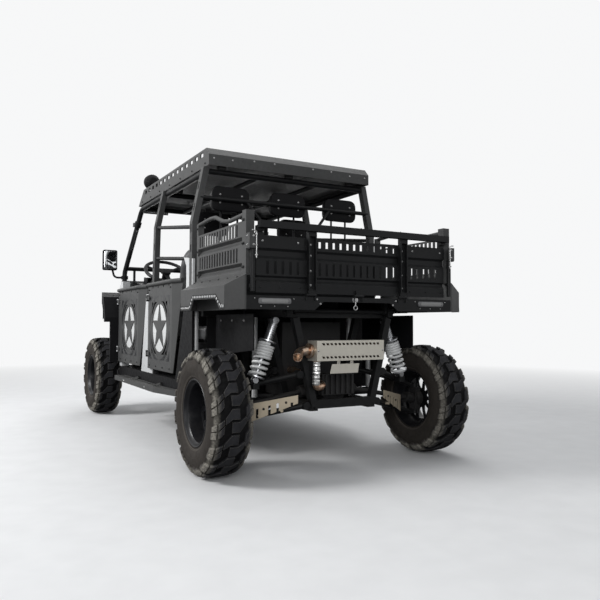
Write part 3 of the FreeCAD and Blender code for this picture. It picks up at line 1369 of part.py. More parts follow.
def arm_guards():
    """Stone guards behind the rear lower arms, each standing off its leg on two bosses."""
    inner_x, inner_z, _, half = REAR_ARMS[0]
    slope = half / (KINGPIN_X - THROAT - inner_x)

    def leg_y(x):
        return REAR_AXLE_Y + (KINGPIN_X - THROAT - x) * slope

    (near_x, near_low, near_top), (far_x, far_low, far_top) = GUARD
    outline = ((near_x, near_low), (far_x, far_low), (far_x, far_top), (near_x, near_top))
    corners = [V(x, leg_y(x) + GUARD_OFF, z) for x, z in outline]
    out = V(slope, 1, 0).normalize()
    plate = Part.Face(Part.makePolygon(corners + corners[:1])).extrude(out * GUARD_T)
    bosses = []
    for x in (360.0, 470.0):
        share = (KINGPIN_X - THROAT - x) / (KINGPIN_X - THROAT - inner_x)
        z = throat_height(REAR_ARMS[0]) + (inner_z - throat_height(REAR_ARMS[0])) * share
        start = V(x, leg_y(x), z)
        bosses.append(Part.makeCylinder(9, GUARD_OFF * out.y + 0.5, start, out))
    slits = []
    for x in (330.0, 400.0, 440.0, 500.0):
        foot = V(x, leg_y(x) + GUARD_OFF, 300)
        slits.append(bar(tuple(foot - out * 10), tuple(foot + out * 12), 14, 200))
    low_edge = prism("y", [(250, 445), (600, 330), (600, 270), (250, 400)], 1400, 1900)
    throat = (KINGPIN_X - THROAT, REAR_AXLE_Y, throat_height(REAR_ARMS[0]))
    leg = rod(throat, (inner_x, REAR_AXLE_Y + half, inner_z), ARM_R + SEAT_GAP)
    plate = plate.cut(Part.makeCompound(slits).common(low_edge))
    return pair(fused(plate, *bosses).cut(leg))


def engine():
    return box(-215, 215, 1031, ENGINE_REAR_Y, REAR_RAIL_Z + RAIL / 2 + SEAT_GAP, 860)


def wheel_wells():
    """The dark inner panels over the rear wheels, and the quarter panels ahead of them."""
    inner = prism("x", [(1030.3, 650), (1600, 700), (1600, 905), (1030.3, 905)], 560, 566)
    low, top = SILL_TOP_Z + SEAT_GAP, QUARTER_Z - SEAT_GAP
    quarter = prism("x", [(655, low), (C_POST_Y + 38, low), (C_POST_Y + 38, top), (835, top), (805, 900)],
                    SIDE_X - 8, SIDE_X + 8)
    post_gap = POST_W / 2 + SEAT_GAP
    quarter = quarter.cut(box(600, 800, C_POST_Y - post_gap, C_POST_Y + post_gap, BASE_Z - 4, 1300))
    return Part.makeCompound([s for p in (inner, quarter) for s in (p, flip(p))])


NODES = {
    "frame": frame,
    "floor_pan": floor_pan,
    "cab_panels": cab_panels,
    "rear_wall": rear_wall,
    "engine": engine,
    "gearcases": gearcases,
    "front_arms": front_arms,
    "rear_arms": rear_arms,
    "arm_guards": arm_guards,
    "shocks": shocks,
    "springs": springs,
    "rear_knuckles": rear_knuckles,
    "roll_cage": roll_cage,
    "front_hoops": front_hoops,
    "roof": roof,
    "lamps": lamps,
    "hood": hood,
    "front_fenders": front_fenders,
    "grille": grille,
    "front_bumper": front_bumper,
    "dashboard": dashboard,
    "seat_bases": seat_bases,
    "seat_cushions": seat_cushions,
    "seat_backs": seat_backs,
    "headrests": headrests,
    "side_steps": side_steps,
    "mirrors": mirrors,
    "exhaust": exhaust,
    "heat_shield": heat_shield,
    "bed_posts": bed_posts,
    "wheel_wells": wheel_wells,
    "bed_tub": bed_tub,
    "bed_sides": bed_sides,
    "bed_fenders": bed_fenders,
    "rear_lamps": rear_lamps,
    "tailgate": tailgate,
    "steering_wheel": steering_wheel,
    "tie_rods": tie_rods,
    "knuckle_left": front_knuckle,
    "knuckle_right": lambda: flip(front_knuckle()),
}
for which in DOORS:
    NODES[f"door_{which}_left"] = lambda which=which: door(which)
    NODES[f"door_{which}_right"] = lambda which=which: flip(door(which))
    NODES[f"door_backing_{which}_left"] = lambda which=which: door_backing(which)
    NODES[f"door_backing_{which}_right"] = lambda which=which: flip(door_backing(which))
for end, axle_y in (("front", FRONT_AXLE_Y), ("rear", REAR_AXLE_Y)):
    NODES[f"tyre_{end}_left"] = lambda y=axle_y: tyre(y)
    NODES[f"tyre_{end}_right"] = lambda y=axle_y: flip(tyre(y))
    NODES[f"rim_{end}_left"] = lambda y=axle_y: rim(y)
    NODES[f"rim_{end}_right"] = lambda y=axle_y: flip(rim(y))

os.makedirs("parts", exist_ok=True)
for name, make in NODES.items():
    shape = make()
    solids = shape.Solids
    good = all(s.isValid() and s.Volume > 0 for s in solids)
    print(name, len(solids), "solids", "ok" if good else "BAD")
    shape.exportStep(f"parts/{name}.step")
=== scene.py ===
"""The side by side utility vehicle: its finishes, tyres, cushions, springs, lamps and fasteners.

Metres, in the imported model's frame: +X is the vehicle's left, -Y its front, +Z up.
"""

import json
import math
import random
from collections import namedtuple

import bmesh
import bpy
from mathutils import Matrix, Vector
from mathutils.bvhtree import BVHTree


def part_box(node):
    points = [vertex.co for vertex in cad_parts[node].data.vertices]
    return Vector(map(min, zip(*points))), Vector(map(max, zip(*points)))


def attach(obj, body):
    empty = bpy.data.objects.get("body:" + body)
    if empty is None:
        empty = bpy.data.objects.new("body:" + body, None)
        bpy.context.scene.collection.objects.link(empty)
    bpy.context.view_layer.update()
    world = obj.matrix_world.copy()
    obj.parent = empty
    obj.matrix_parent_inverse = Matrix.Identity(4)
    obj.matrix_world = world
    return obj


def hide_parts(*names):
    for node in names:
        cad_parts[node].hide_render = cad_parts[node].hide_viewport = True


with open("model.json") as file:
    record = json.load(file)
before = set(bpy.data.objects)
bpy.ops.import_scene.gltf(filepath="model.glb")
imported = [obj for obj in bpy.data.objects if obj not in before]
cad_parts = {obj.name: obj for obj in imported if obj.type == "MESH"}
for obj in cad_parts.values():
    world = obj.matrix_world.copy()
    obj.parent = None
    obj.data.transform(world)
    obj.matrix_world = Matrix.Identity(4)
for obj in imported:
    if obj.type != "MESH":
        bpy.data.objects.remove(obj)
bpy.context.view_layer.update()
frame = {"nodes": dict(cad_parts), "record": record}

SIDES = (("left", 1), ("right", -1))
ENDS = ("front", "rear")
WHEELS = [(end, side, sign) for end in ENDS for side, sign in SIDES]


# Camera, light and floor

CAMERA_PLACE = Vector((2.0579, 4.8351, 0.8535))
CAMERA_YAW = -0.5053
CAMERA_PITCH = 0.0364
CAMERA_ROLL = 0.0029
CAMERA_LENS = 38.13
CAMERA_SENSOR = 36
BACKDROP = (0.93, 0.935, 0.94, 1)
SKY = (0.93, 0.96, 1.0, 1)
SKY_STRENGTH = 0.30
SHOWN_RAYS = ("Camera", "Glossy", "Transmission")
FLOOR_HALF = 40.0
FLOOR_PALE = (0.86, 0.865, 0.87, 1)
FLOOR_PALE_LOW = (0.82, 0.825, 0.83, 1)
FLOOR_DULL = (0.24, 0.24, 0.24, 1)
FLOOR_FADE = (3.2, 9.0)


def put(name, data):
    """A new object in the scene."""
    made = bpy.data.objects.new(name, data)
    bpy.context.scene.collection.objects.link(made)
    return made


def make_camera():
    forward = Vector((math.sin(CAMERA_YAW) * math.cos(CAMERA_PITCH),
                      -math.cos(CAMERA_YAW) * math.cos(CAMERA_PITCH),
                      math.sin(CAMERA_PITCH)))
    right = forward.cross(Vector((0, 0, 1))).normalized()
    up = right.cross(forward)
    turn = Matrix((right, up, -forward)).transposed().to_4x4()
    data = bpy.data.cameras.new("camera")
    data.lens = CAMERA_LENS
    data.sensor_width = CAMERA_SENSOR
    camera = put("camera", data)
    camera.matrix_world = Matrix.Translation(CAMERA_PLACE) @ turn @ Matrix.Rotation(CAMERA_ROLL, 4, "Z")
    bpy.context.scene.camera = camera


LAMPS = (
    # name, place, target, size, watts
    ("key", (6.0, -0.6, 4.6), (0.0, 0.1, 0.9), 2.2, 330),
    ("rear", (3.0, 6.8, 2.4), (0.0, 1.0, 0.7), 2.2, 95),
    ("front", (-3.0, -6.5, 2.6), (0.0, -0.8, 0.8), 4.0, 140),
    ("top", (-1.0, 0.5, 6.5), (0.0, 0.0, 1.0), 4.0, 115),
)


def make_lamps():
    for name, place, target, size, watts in LAMPS:
        data = bpy.data.lights.new(name, "AREA")
        data.size = size
        data.energy = watts
        lamp = put(name, data)
        lamp.location = place
        lamp.rotation_euler = (Vector(target) - Vector(place)).to_track_quat("-Z", "Y").to_euler()


def add(tree, kind, inputs=None, **settings):
    """A shader node with its settings, and its inputs linked to a socket or set to a value."""
    node = tree.nodes.new("ShaderNode" + kind)
    for key, value in settings.items():
        setattr(node, key, value)
    for key, value in (inputs or {}).items():
        if isinstance(value, bpy.types.NodeSocket):
            tree.links.new(value, node.inputs[key])
        else:
            node.inputs[key].default_value = value
    return node


def mixed(tree, share, first, second, blend="MIX"):
    """A colour between two, or one blended with the other."""
    node = add(tree, "Mix", {0: share, 6: first, 7: second}, data_type="RGBA", blend_type=blend)
    return node.outputs[2]


def spread_of(tree, value, low, high, out_low=0.0, out_high=1.0):
    """A value's place between two, from 0 to 1 or over another range."""
    node = add(tree, "MapRange", {0: value, 1: low, 2: high, 3: out_low, 4: out_high})
    return node.outputs[0]


def maths(tree, operation, *values):
    """The result of one operation on sockets or numbers."""
    return add(tree, "Math", dict(enumerate(values)), operation=operation).outputs[0]


def product(tree, *values):
    """Two sockets or numbers multiplied, and then by each further one."""
    result = values[0]
    for value in values[1:]:
        result = maths(tree, "MULTIPLY", result, value)
    return result


def noise(tree, place, scale, detail, **more):
    """A cloudy pattern in an object's own coordinates."""
    return add(tree, "TexNoise", {"Vector": place, "Scale": scale, "Detail": detail, **more}).outputs[0]


def flatness(tree, soft_normal):
    """How nearly the softened normal is the face's own: less at an edge."""
    own = add(tree, "NewGeometry").outputs["Normal"]
    return add(tree, "VectorMath", {0: soft_normal, 1: own}, operation="DOT_PRODUCT").outputs["Value"]


def ramp_of(tree, share, stops):
    """A ramp through colours at given shares."""
    node = add(tree, "ValToRGB", {0: share})
    elements = node.color_ramp.elements
    elements.remove(elements[0])
    elements[0].position = stops[0][0]
    elements[0].color = rgba(stops[0][1])
    for at, colour in stops[1:]:
        elements.new(at).color = rgba(colour)
    return node.outputs[0]


def rgba(colour):
    return (*colour, 1.0)


def make_world():
    world = bpy.data.worlds.new("world")
    world.use_nodes = True
    tree = world.node_tree
    tree.nodes.clear()
    path = add(tree, "LightPath")
    camera, glossy, through = (path.outputs[f"Is {kind} Ray"] for kind in SHOWN_RAYS)
    seen = maths(tree, "MAXIMUM", maths(tree, "MAXIMUM", camera, glossy), through)
    soft = add(tree, "Background", {"Color": SKY, "Strength": SKY_STRENGTH})
    shown = add(tree, "Background", {"Color": BACKDROP, "Strength": 1.0})
    both = add(tree, "MixShader", {0: seen, 1: soft.outputs[0], 2: shown.outputs[0]})
    add(tree, "OutputWorld", {0: both.outputs[0]})
    bpy.context.scene.world = world


def make_floor():
    mesh = bpy.data.meshes.new("floor")
    corners = [(x * FLOOR_HALF, y * FLOOR_HALF, 0) for x, y in ((-1, -1), (1, -1), (1, 1), (-1, 1))]
    mesh.from_pydata(corners, [], [(0, 1, 2, 3)])
    floor = put("floor", mesh)
    material = bpy.data.materials.new("floor")
    material.use_nodes = True
    tree = material.node_tree
    shader = tree.nodes["Principled BSDF"]
    place = add(tree, "TexCoord").outputs["Object"]
    grain = noise(tree, place, 6.0, 6.0)
    pale = mixed(tree, spread_of(tree, grain, 0.3, 0.7), FLOOR_PALE, FLOOR_PALE_LOW)
    seen = add(tree, "LightPath").outputs["Is Camera Ray"]
    tree.links.new(mixed(tree, seen, FLOOR_DULL, pale), shader.inputs["Base Color"])
    shader.inputs["Roughness"].default_value = 0.8
    shader.inputs["Specular IOR Level"].default_value = 0.2
    far = add(tree, "VectorMath", {0: place}, operation="LENGTH").outputs["Value"]
    faded = product(tree, spread_of(tree, far, *FLOOR_FADE), seen)
    backdrop = add(tree, "Emission", {"Color": BACKDROP, "Strength": 1.0})
    both = add(tree, "MixShader", {0: faded, 1: shader.outputs[0], 2: backdrop.outputs[0]})
    tree.links.new(both.outputs[0], tree.nodes["Material Output"].inputs[0])
    mesh.materials.append(material)


# Finishes

FINISHES = {
    # name: colour, roughness, metal, grain per metre, grain height, edge colour (wear and painted highlight) or
    # None, its share, dust
    "frame_black": ((0.013, 0.0135, 0.0145), 0.40, 0.0, 900, 0.12, (0.09, 0.09, 0.09), 0.35, 0.08),
    "dark_grey_paint": ((0.080, 0.081, 0.081), 0.44, 0.0, 700, 0.30, (0.26, 0.26, 0.25), 0.30, 0.10),
    "white_plastic": ((0.74, 0.75, 0.755), 0.30, 0.0, 250, 0.005, None, 0.0, 0.0),
    "black_plastic": ((0.010, 0.010, 0.011), 0.50, 0.0, 600, 0.25, (0.05, 0.05, 0.05), 0.2, 0.02),
    "cast_metal": ((0.030, 0.030, 0.031), 0.55, 0.35, 300, 0.35, (0.20, 0.19, 0.18), 0.3, 0.20),
    "bare_steel": ((0.56, 0.48, 0.36), 0.42, 0.35, 200, 0.10, (0.75, 0.70, 0.60), 0.4, 0.25),
    "white_paint": ((0.84, 0.85, 0.85), 0.30, 0.0, 300, 0.03, None, 0.0, 0.03),
    "shock_metal": ((0.50, 0.51, 0.53), 0.30, 0.85, 300, 0.05, None, 0.0, 0.10),
    "silver_tube": ((0.72, 0.73, 0.73), 0.34, 0.25, 300, 0.06, (0.85, 0.85, 0.85), 0.2, 0.12),
    "bronzed_steel": ((0.42, 0.22, 0.12), 0.30, 0.9, 60, 0.06, None, 0.0, 0.05),
    "shield_steel": ((0.70, 0.67, 0.59), 0.36, 0.45, 150, 0.08, (0.85, 0.84, 0.80), 0.2, 0.30),
    "seat_vinyl": ((0.018, 0.018, 0.020), 0.46, 0.0, 420, 0.45, None, 0.0, 0.06),
    "lamp_glass": ((0.90, 0.93, 0.95), 0.03, 0.0, 200, 0.0, None, 0.0, 0.0),
    "tail_lens": ((0.17, 0.17, 0.175), 0.20, 0.0, 200, 0.02, None, 0.0, 0.05),
    "tyre": ((0.030, 0.029, 0.028), 0.78, 0.0, 260, 0.5, None, 0.0, 0.5),
    "rim_black": ((0.010, 0.0105, 0.013), 0.34, 0.0, 500, 0.08, (0.12, 0.12, 0.13), 0.4, 0.06),
    "seat_side": ((0.085, 0.086, 0.088), 0.50, 0.0, 420, 0.45, None, 0.0, 0.08),
    "seat_piping": ((0.30, 0.30, 0.30), 0.45, 0.0, 420, 0.20, None, 0.0, 0.05),
    "bolt_zinc": ((0.42, 0.42, 0.42), 0.30, 0.9, 200, 0.03, None, 0.0, 0.05),
    "mirror_face": ((0.86, 0.88, 0.90), 0.03, 1.0, 200, 0.0, None, 0.0, 0.0),
    "foil": ((0.70, 0.70, 0.69), 0.22, 0.95, 90, 0.5, None, 0.0, 0.05),
    "dial_face": ((0.010, 0.011, 0.012), 0.16, 0.0, 200, 0.0, None, 0.0, 0.0),
    "dial_mark": ((0.75, 0.76, 0.76), 0.40, 0.0, 200, 0.0, None, 0.0, 0.0),
}
DULL = {
    # finishes that shine less than most, and their specular level
    "frame_black": 0.18,
    "black_plastic": 0.10,
    "dark_grey_paint": 0.20,
    "cast_metal": 0.35,
    "tyre": 0.15,
    "rim_black": 0.30,
    "seat_vinyl": 0.30,
}
DUST = (0.30, 0.26, 0.21, 1)
EDGE_WIDTH = 0.0015
GRAIN_DEPTH = 0.0006
USUAL_SHINE = 0.5
DARK_COLOUR = 0.3
UNEVEN_DARK = 0.18
UNEVEN_PALE = 0.05
BROAD_NOISE = (4.0, 5.0)
PATCH_NOISE = (38.0, 4.0)
HEAT_STOPS = (
    (0.25, (0.10, 0.07, 0.06)),
    (0.42, (0.36, 0.20, 0.13)),
    (0.58, (0.52, 0.40, 0.30)),
    (0.80, (0.28, 0.22, 0.23)),
)


def surface(name, colour, rough, metal, grain, height, edge_wear_and_highlight, edge_wear_and_highlight_share, dust):
    """A finish with uneven colour and gloss, a fine grain, edges lightened partly as wear and partly as painted
    highlight, and dust on what faces up or is low.
    """
    material = bpy.data.materials.new(name)
    material.use_nodes = True
    tree = material.node_tree
    shader = tree.nodes["Principled BSDF"]
    place = add(tree, "TexCoord").outputs["Object"]
    patchy = noise(tree, place, *PATCH_NOISE)
    shade = product(tree, noise(tree, place, *BROAD_NOISE), patchy)
    spread = UNEVEN_DARK if max(colour) < DARK_COLOUR else UNEVEN_PALE
    dark = tuple(c * (1 - spread) for c in colour)
    light = tuple(min(1.0, c * (1 + spread * 0.7)) for c in colour)
    base = mixed(tree, spread_of(tree, shade, 0.12, 0.42), rgba(dark), rgba(light))
    soft_normal = add(tree, "Bevel", {"Radius": EDGE_WIDTH}, samples=4).outputs[0]
    # Lighter edges: partly wear, partly a painted highlight along every edge.
    if edge_wear_and_highlight:
        edge = spread_of(tree, flatness(tree, soft_normal), 0.995, 0.90)
        share = product(tree, edge, spread_of(tree, patchy, 0.42, 0.62), edge_wear_and_highlight_share)
        base = mixed(tree, share, base, rgba(edge_wear_and_highlight))
    if dust:
        up = add(tree, "SeparateXYZ", {0: add(tree, "NewGeometry").outputs["Normal"]}).outputs[2]
        low = add(tree, "SeparateXYZ", {0: place}).outputs[2]
        lies = spread_of(tree, up, 0.2, 1.0, 0.15, 1.0)
        near = spread_of(tree, low, 1.1, 0.3, 0.25, 1.0)
        share = product(tree, lies, near, spread_of(tree, shade, 0.1, 0.45), dust)
        base = mixed(tree, share, base, DUST)
    tree.links.new(base, shader.inputs["Base Color"])
    gloss = spread_of(tree, patchy, 0.3, 0.7, rough * 0.85, min(1.0, rough * 1.2))
    tree.links.new(gloss, shader.inputs["Roughness"])
    shader.inputs["Metallic"].default_value = metal
    shader.inputs["Specular IOR Level"].default_value = DULL.get(name, USUAL_SHINE)
    fine = noise(tree, place, float(grain), 2.0)
    bump = add(tree, "Bump", {"Strength": height, "Distance": GRAIN_DEPTH, "Height": fine, "Normal": soft_normal})
    tree.links.new(bump.outputs[0], shader.inputs["Normal"])
    return material


def heat_tint(material):
    """Straw, copper and violet bands along a heated pipe."""
    tree = material.node_tree
    shader = tree.nodes["Principled BSDF"]
    place = add(tree, "TexCoord").outputs["Object"]
    cloud = noise(tree, place, 14.0, 3.0, Distortion=1.5)
    tree.links.new(ramp_of(tree, cloud, HEAT_STOPS), shader.inputs["Base Color"])


def clear_glass(material):
    """Clear glass, so that what lies behind a lens is seen."""
    shader = material.node_tree.nodes["Principled BSDF"]
    shader.inputs["Transmission Weight"].default_value = 1.0
    shader.inputs["IOR"].default_value = 1.46


materials = {name: surface(name, *row) for name, row in FINISHES.items()}
heat_tint(materials["bronzed_steel"])
clear_glass(materials["lamp_glass"])


def dress_frame():
    """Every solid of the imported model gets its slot's finish."""
    slot_of = {row["node"]: row["material_slot"] for row in frame["record"]["subparts"]}
    for node, piece in frame["nodes"].items():
        piece.data.materials.clear()
        piece.data.materials.append(materials[slot_of[node]])
        for polygon in piece.data.polygons:
            polygon.material_index = 0
    blacken("roll_cage", between_posts)
    blacken("bed_sides", latch_rod)


POST_PLACES_Y = (0.067, 0.947)
POST_HALF = 0.027
POST_INNER_X = 0.56
LATCH_ROD_Y = 1.806
LATCH_ROD_TOP = 1.249


def between_posts(x, y, z):
    """The cage's tubes, which are black where its posts are grey."""
    on_post = any(abs(y - place) < POST_HALF for place in POST_PLACES_Y)
    return not (on_post and abs(x) > POST_INNER_X)


def latch_rod(x, y, z):
    """The black rod below each latch plate of the bed's sides."""
    return y > LATCH_ROD_Y and z < LATCH_ROD_TOP


def blacken(node, chosen):
    """Black paint on those of a node's faces whose middle is chosen."""
    mesh = frame["nodes"][node].data
    mesh.materials.append(materials["frame_black"])
    for polygon in mesh.polygons:
        polygon.material_index = 1 if chosen(*polygon.center) else 0


# Small mesh tools

def mm(*values):
    """A point given in millimetres."""
    return Vector([value * 0.001 for value in values])


def circle(count, radius=1.0, shift=0.0):
    """Points on a circle, the first one shifted by a share of a step."""
    turns = [2 * math.pi * (n + shift) / count for n in range(count)]
    return [(radius * math.cos(a), radius * math.sin(a)) for a in turns]


def walls(work, rings):
    """Faces between each two neighbouring rings of points."""
    for low, high in zip(rings, rings[1:]):
        for n in range(len(low)):
            j = (n + 1) % len(low)
            work.faces.new((low[n], low[j], high[j], high[n]))


def closed_over(work, rings):
    """A closed surface: walls between the rings, and a face over each end."""
    walls(work, rings)
    work.faces.new(rings[0][::-1])
    work.faces.new(rings[-1])


def mesh_from(name, mesh_maker):
    """A mesh made by a function on a bmesh, its faces turned outwards."""
    work = bmesh.new()
    mesh_maker(work)
    bmesh.ops.recalc_face_normals(work, faces=work.faces)
    mesh = bpy.data.meshes.new(name)
    work.to_mesh(mesh)
    work.free()
    return mesh


def tree_from(mesh):
    """A search tree of a mesh, in the mesh's own coordinates."""
    work = bmesh.new()
    work.from_mesh(mesh)
    tree = BVHTree.FromBMesh(work)
    work.free()
    return tree


def piece_from(name, mesh_maker, finish, body, place=None, smooth=None):
    """A new piece: its mesh made by a function on a bmesh, with a finish, riding on a body."""
    mesh = mesh_from(name, mesh_maker)
    piece = put(name, mesh)
    if place is not None:
        piece.location = place
    mesh.materials.append(materials[finish])
    if smooth is not None:
        mesh.shade_smooth()
        mesh.set_sharp_from_angle(angle=math.radians(smooth))
    bpy.context.view_layer.update()
    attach(piece, body)
    return piece


def facing(out):
    """A turn whose Z points out of a face, with its Y as near to upwards as it can be."""
    out = Vector(out).normalized()
    up = Vector((0, 1, 0)) if abs(out.z) > 0.9 else Vector((0, 0, 1))
    right = up.cross(out).normalized()
    return Matrix((right, out.cross(right), out)).transposed()


def slab(work, outline, thick, chamfer, out, place):
    """A plate with a chamfered outer edge: its outline lies in the plane that faces out, in metres."""
    turn = facing(out)
    reach_x = max(abs(x) for x, y in outline)
    reach_y = max(abs(y) for x, y in outline)
    rings = []
    levels = ((0.0, 0.0), (thick - chamfer, 0.0), (thick - chamfer * 0.3, chamfer * 0.3), (thick, chamfer))
    for at, inset in levels:
        ring = []
        for x, y in outline:
            spot = Vector((x * (1 - inset / reach_x), y * (1 - inset / reach_y), at))
            ring.append(work.verts.new(place + turn @ spot))
        rings.append(ring)
    closed_over(work, rings)


def rounded_box_outline(width, height, radius):
    """A rectangle round the origin with round corners, in metres."""
    x, y = width / 2, height / 2
    flat = rounded([(x, y, 0), (-x, y, 0), (-x, -y, 0), (x, -y, 0)], radius, 5)
    return [(p[0], p[1]) for p in flat]


def lathe(work, profile, steps, way=(1, 0, 0), place=(0, 0, 0)):
    """A solid of revolution round X or another way, from a closed profile of places along it and radii."""
    rings = [[work.verts.new((x, r * c, r * s)) for x, r in profile] for c, s in circle(steps)]
    count = len(profile)
    for n in range(steps):
        here, there = rings[n], rings[(n + 1) % steps]
        for k in range(count):
            j = (k + 1) % count
            work.faces.new((here[k], here[j], there[j], there[k]))
    turn = Vector(way).to_track_quat("X", "Z").to_matrix()
    made = [v for ring in rings for v in ring]
    for v in made:
        v.co = Vector(place) + turn @ v.co
    return made


def rounded(points, radius, steps=4):
    """A closed outline with its corners rounded by short arcs, each as large as its edges allow."""
    out = []
    count = len(points)
    for n in range(count):
        before, corner, after = (Vector(points[(n + d) % count]) for d in (-1, 0, 1))
        into, away = before - corner, after - corner
        reach = min(radius, into.length * 0.45, away.length * 0.45)
        first, last = corner + into.normalized() * reach, corner + away.normalized() * reach
        for k in range(steps + 1):
            t = k / steps
            out.append(tuple(first.lerp(corner, t).lerp(corner.lerp(last, t), t)))
    return out


# Tyres

PITCHES = 16
LUG_TOP = (
    # X, radius of the lugs' tops from the middle of the tread to its edge
    (0.0, 0.3553), (0.045, 0.3540), (0.078, 0.3490), (0.099, 0.3390), (0.111, 0.3240), (0.1175, 0.3060),
    (0.1190, 0.290),
)
LUG_BASE = (
    # X, radius of the carcass below them
    (0.0, 0.3385), (0.044, 0.3370), (0.075, 0.3320), (0.093, 0.3230), (0.103, 0.3100), (0.110, 0.2950),
    (0.1135, 0.281),
)
SIDEWALL = (
    # X, radius from the tread's edge down to the bead
    (0.1155, 0.2740), (0.1172, 0.2600), (0.1175, 0.2450), (0.1165, 0.2440), (0.1160, 0.2300), (0.1125, 0.2150),
    (0.1065, 0.2020), (0.1055, 0.1985), (0.1015, 0.1965), (0.1000, 0.1900), (0.0960, 0.1840),
)
BLOCKS = (
    # share across at each row, and share of a pitch low and high there: rows from the outer end inwards
    ((0.93, 0.15, 0.42), (0.80, 0.18, 0.47), (0.66, 0.24, 0.54)),
    ((0.90, 0.50, 0.70), (0.80, 0.53, 0.75), (0.66, 0.60, 0.82)),
    ((0.61, 0.27, 0.55), (0.50, 0.37, 0.68), (0.40, 0.50, 0.80)),
    ((0.61, 0.62, 0.85), (0.50, 0.74, 0.95), (0.40, 0.86, 1.02)),
    ((0.37, -0.16, 0.08), (0.13, 0.02, 0.42), (-0.14, 0.02, 0.42)),
)
TURNED_SHIFT = 0.94
LUG_DRAFT = 0.0022
LUG_CHAMFER = 0.0018
LUG_RADIUS = 0.35
HALF_SPAN = 0.145
FOOT_LEVEL = -0.15
EDGE_LEVEL = 0.87
INNER_WALL = ((0.088, 0.188), (0.104, 0.235), (0.100, 0.290), (0.0, 0.325))


def across(table, share):
    """The point at a share of a half profile's length from the middle of the tread."""
    points = [Vector(p) for p in table]
    steps = [(b - a).length for a, b in zip(points, points[1:])]
    left = min(abs(share), 1.0) * sum(steps)
    n = 0
    while n < len(steps) - 1 and left > steps[n]:
        left -= steps[n]
        n += 1
    spot = points[n].lerp(points[n + 1], left / steps[n])
    return Vector((math.copysign(spot.x, share), spot.y))


def lug(work, rows, offset):
    """One block: a chamfered top, drafted walls and a foot sunk in the carcass."""
    pitch = 2 * math.pi / PITCHES
    loop = [(s, lo) for s, lo, hi in rows] + [(s, hi) for s, lo, hi in rows[::-1]]
    middle_s = sum(s for s, u in loop) / len(loop)
    middle_u = sum(u for s, u in loop) / len(loop)

    def ring(level, grow):
        made = []
        for s, u in loop:
            ds, du = (s - middle_s) * HALF_SPAN, (u - middle_u) * pitch * LUG_RADIUS
            away = math.hypot(ds, du) or 1.0
            s2 = s + grow * ds / away / HALF_SPAN
            u2 = u + grow * du / away / (pitch * LUG_RADIUS)
            low, top = across(LUG_BASE, s2), across(LUG_TOP, s2)
            spot = low.lerp(top, level)
            a = (u2 + offset) * pitch
            made.append(work.verts.new((spot.x, spot.y * math.cos(a), spot.y * math.sin(a))))
        return made

    foot, edge, top = ring(FOOT_LEVEL, LUG_DRAFT), ring(EDGE_LEVEL, 0.0), ring(1.0, -LUG_CHAMFER)
    walls(work, (foot, edge, top))
    count = len(loop)
    for n in range(len(rows) - 1):
        work.faces.new((top[n], top[n + 1], top[count - 2 - n], top[count - 1 - n]))
    work.faces.new(foot[::-1])


def tyre_mesh(work):
    """The hollow carcass with every block, and each block turned half round onto the other side."""
    half = list(LUG_BASE) + list(SIDEWALL)
    profile = [(-x, r) for x, r in half[:0:-1]] + half
    profile += [*INNER_WALL, *((-x, r) for x, r in INNER_WALL[-2::-1])]
    lathe(work, profile, 96)
    for n in range(PITCHES):
        for rows in BLOCKS:
            lug(work, rows, n)
            lug(work, [(-s, -lo, -hi) for s, lo, hi in rows], n + TURNED_SHIFT)


CARCASS_RAMP = (
    # share of the half width, and the carcass's radius there in metres
    (0.0, 0.3385), (0.367, 0.3370), (0.625, 0.3320), (0.775, 0.3230), (0.858, 0.3100), (0.917, 0.2950),
    (0.946, 0.2810),
)
BEAD_HIGHLIGHT_LINES = (
    # radius and half width of each painted highlight line on a bead ridge
    (0.1985, 0.0014),
    (0.2040, 0.0012),
)
BLOCK_EDGE_WIDTH = 0.0022
# Painted shade in the grooves between the blocks, darker than the rubber itself.
GROOVE_SHADE = (0.006, 0.006, 0.0065, 1)
BLOCK_DARK = (0.020, 0.0205, 0.023, 1)
BLOCK_PALE = (0.046, 0.046, 0.050, 1)
BLOCK_DUST = (0.33, 0.31, 0.27, 1)
BLOCK_EDGE = (0.20, 0.185, 0.16, 1)
WALL_BROWN = (0.058, 0.051, 0.045, 1)
# Colour of the painted highlights on the bead ridges.
BEAD_HIGHLIGHT = (0.20, 0.18, 0.16, 1)


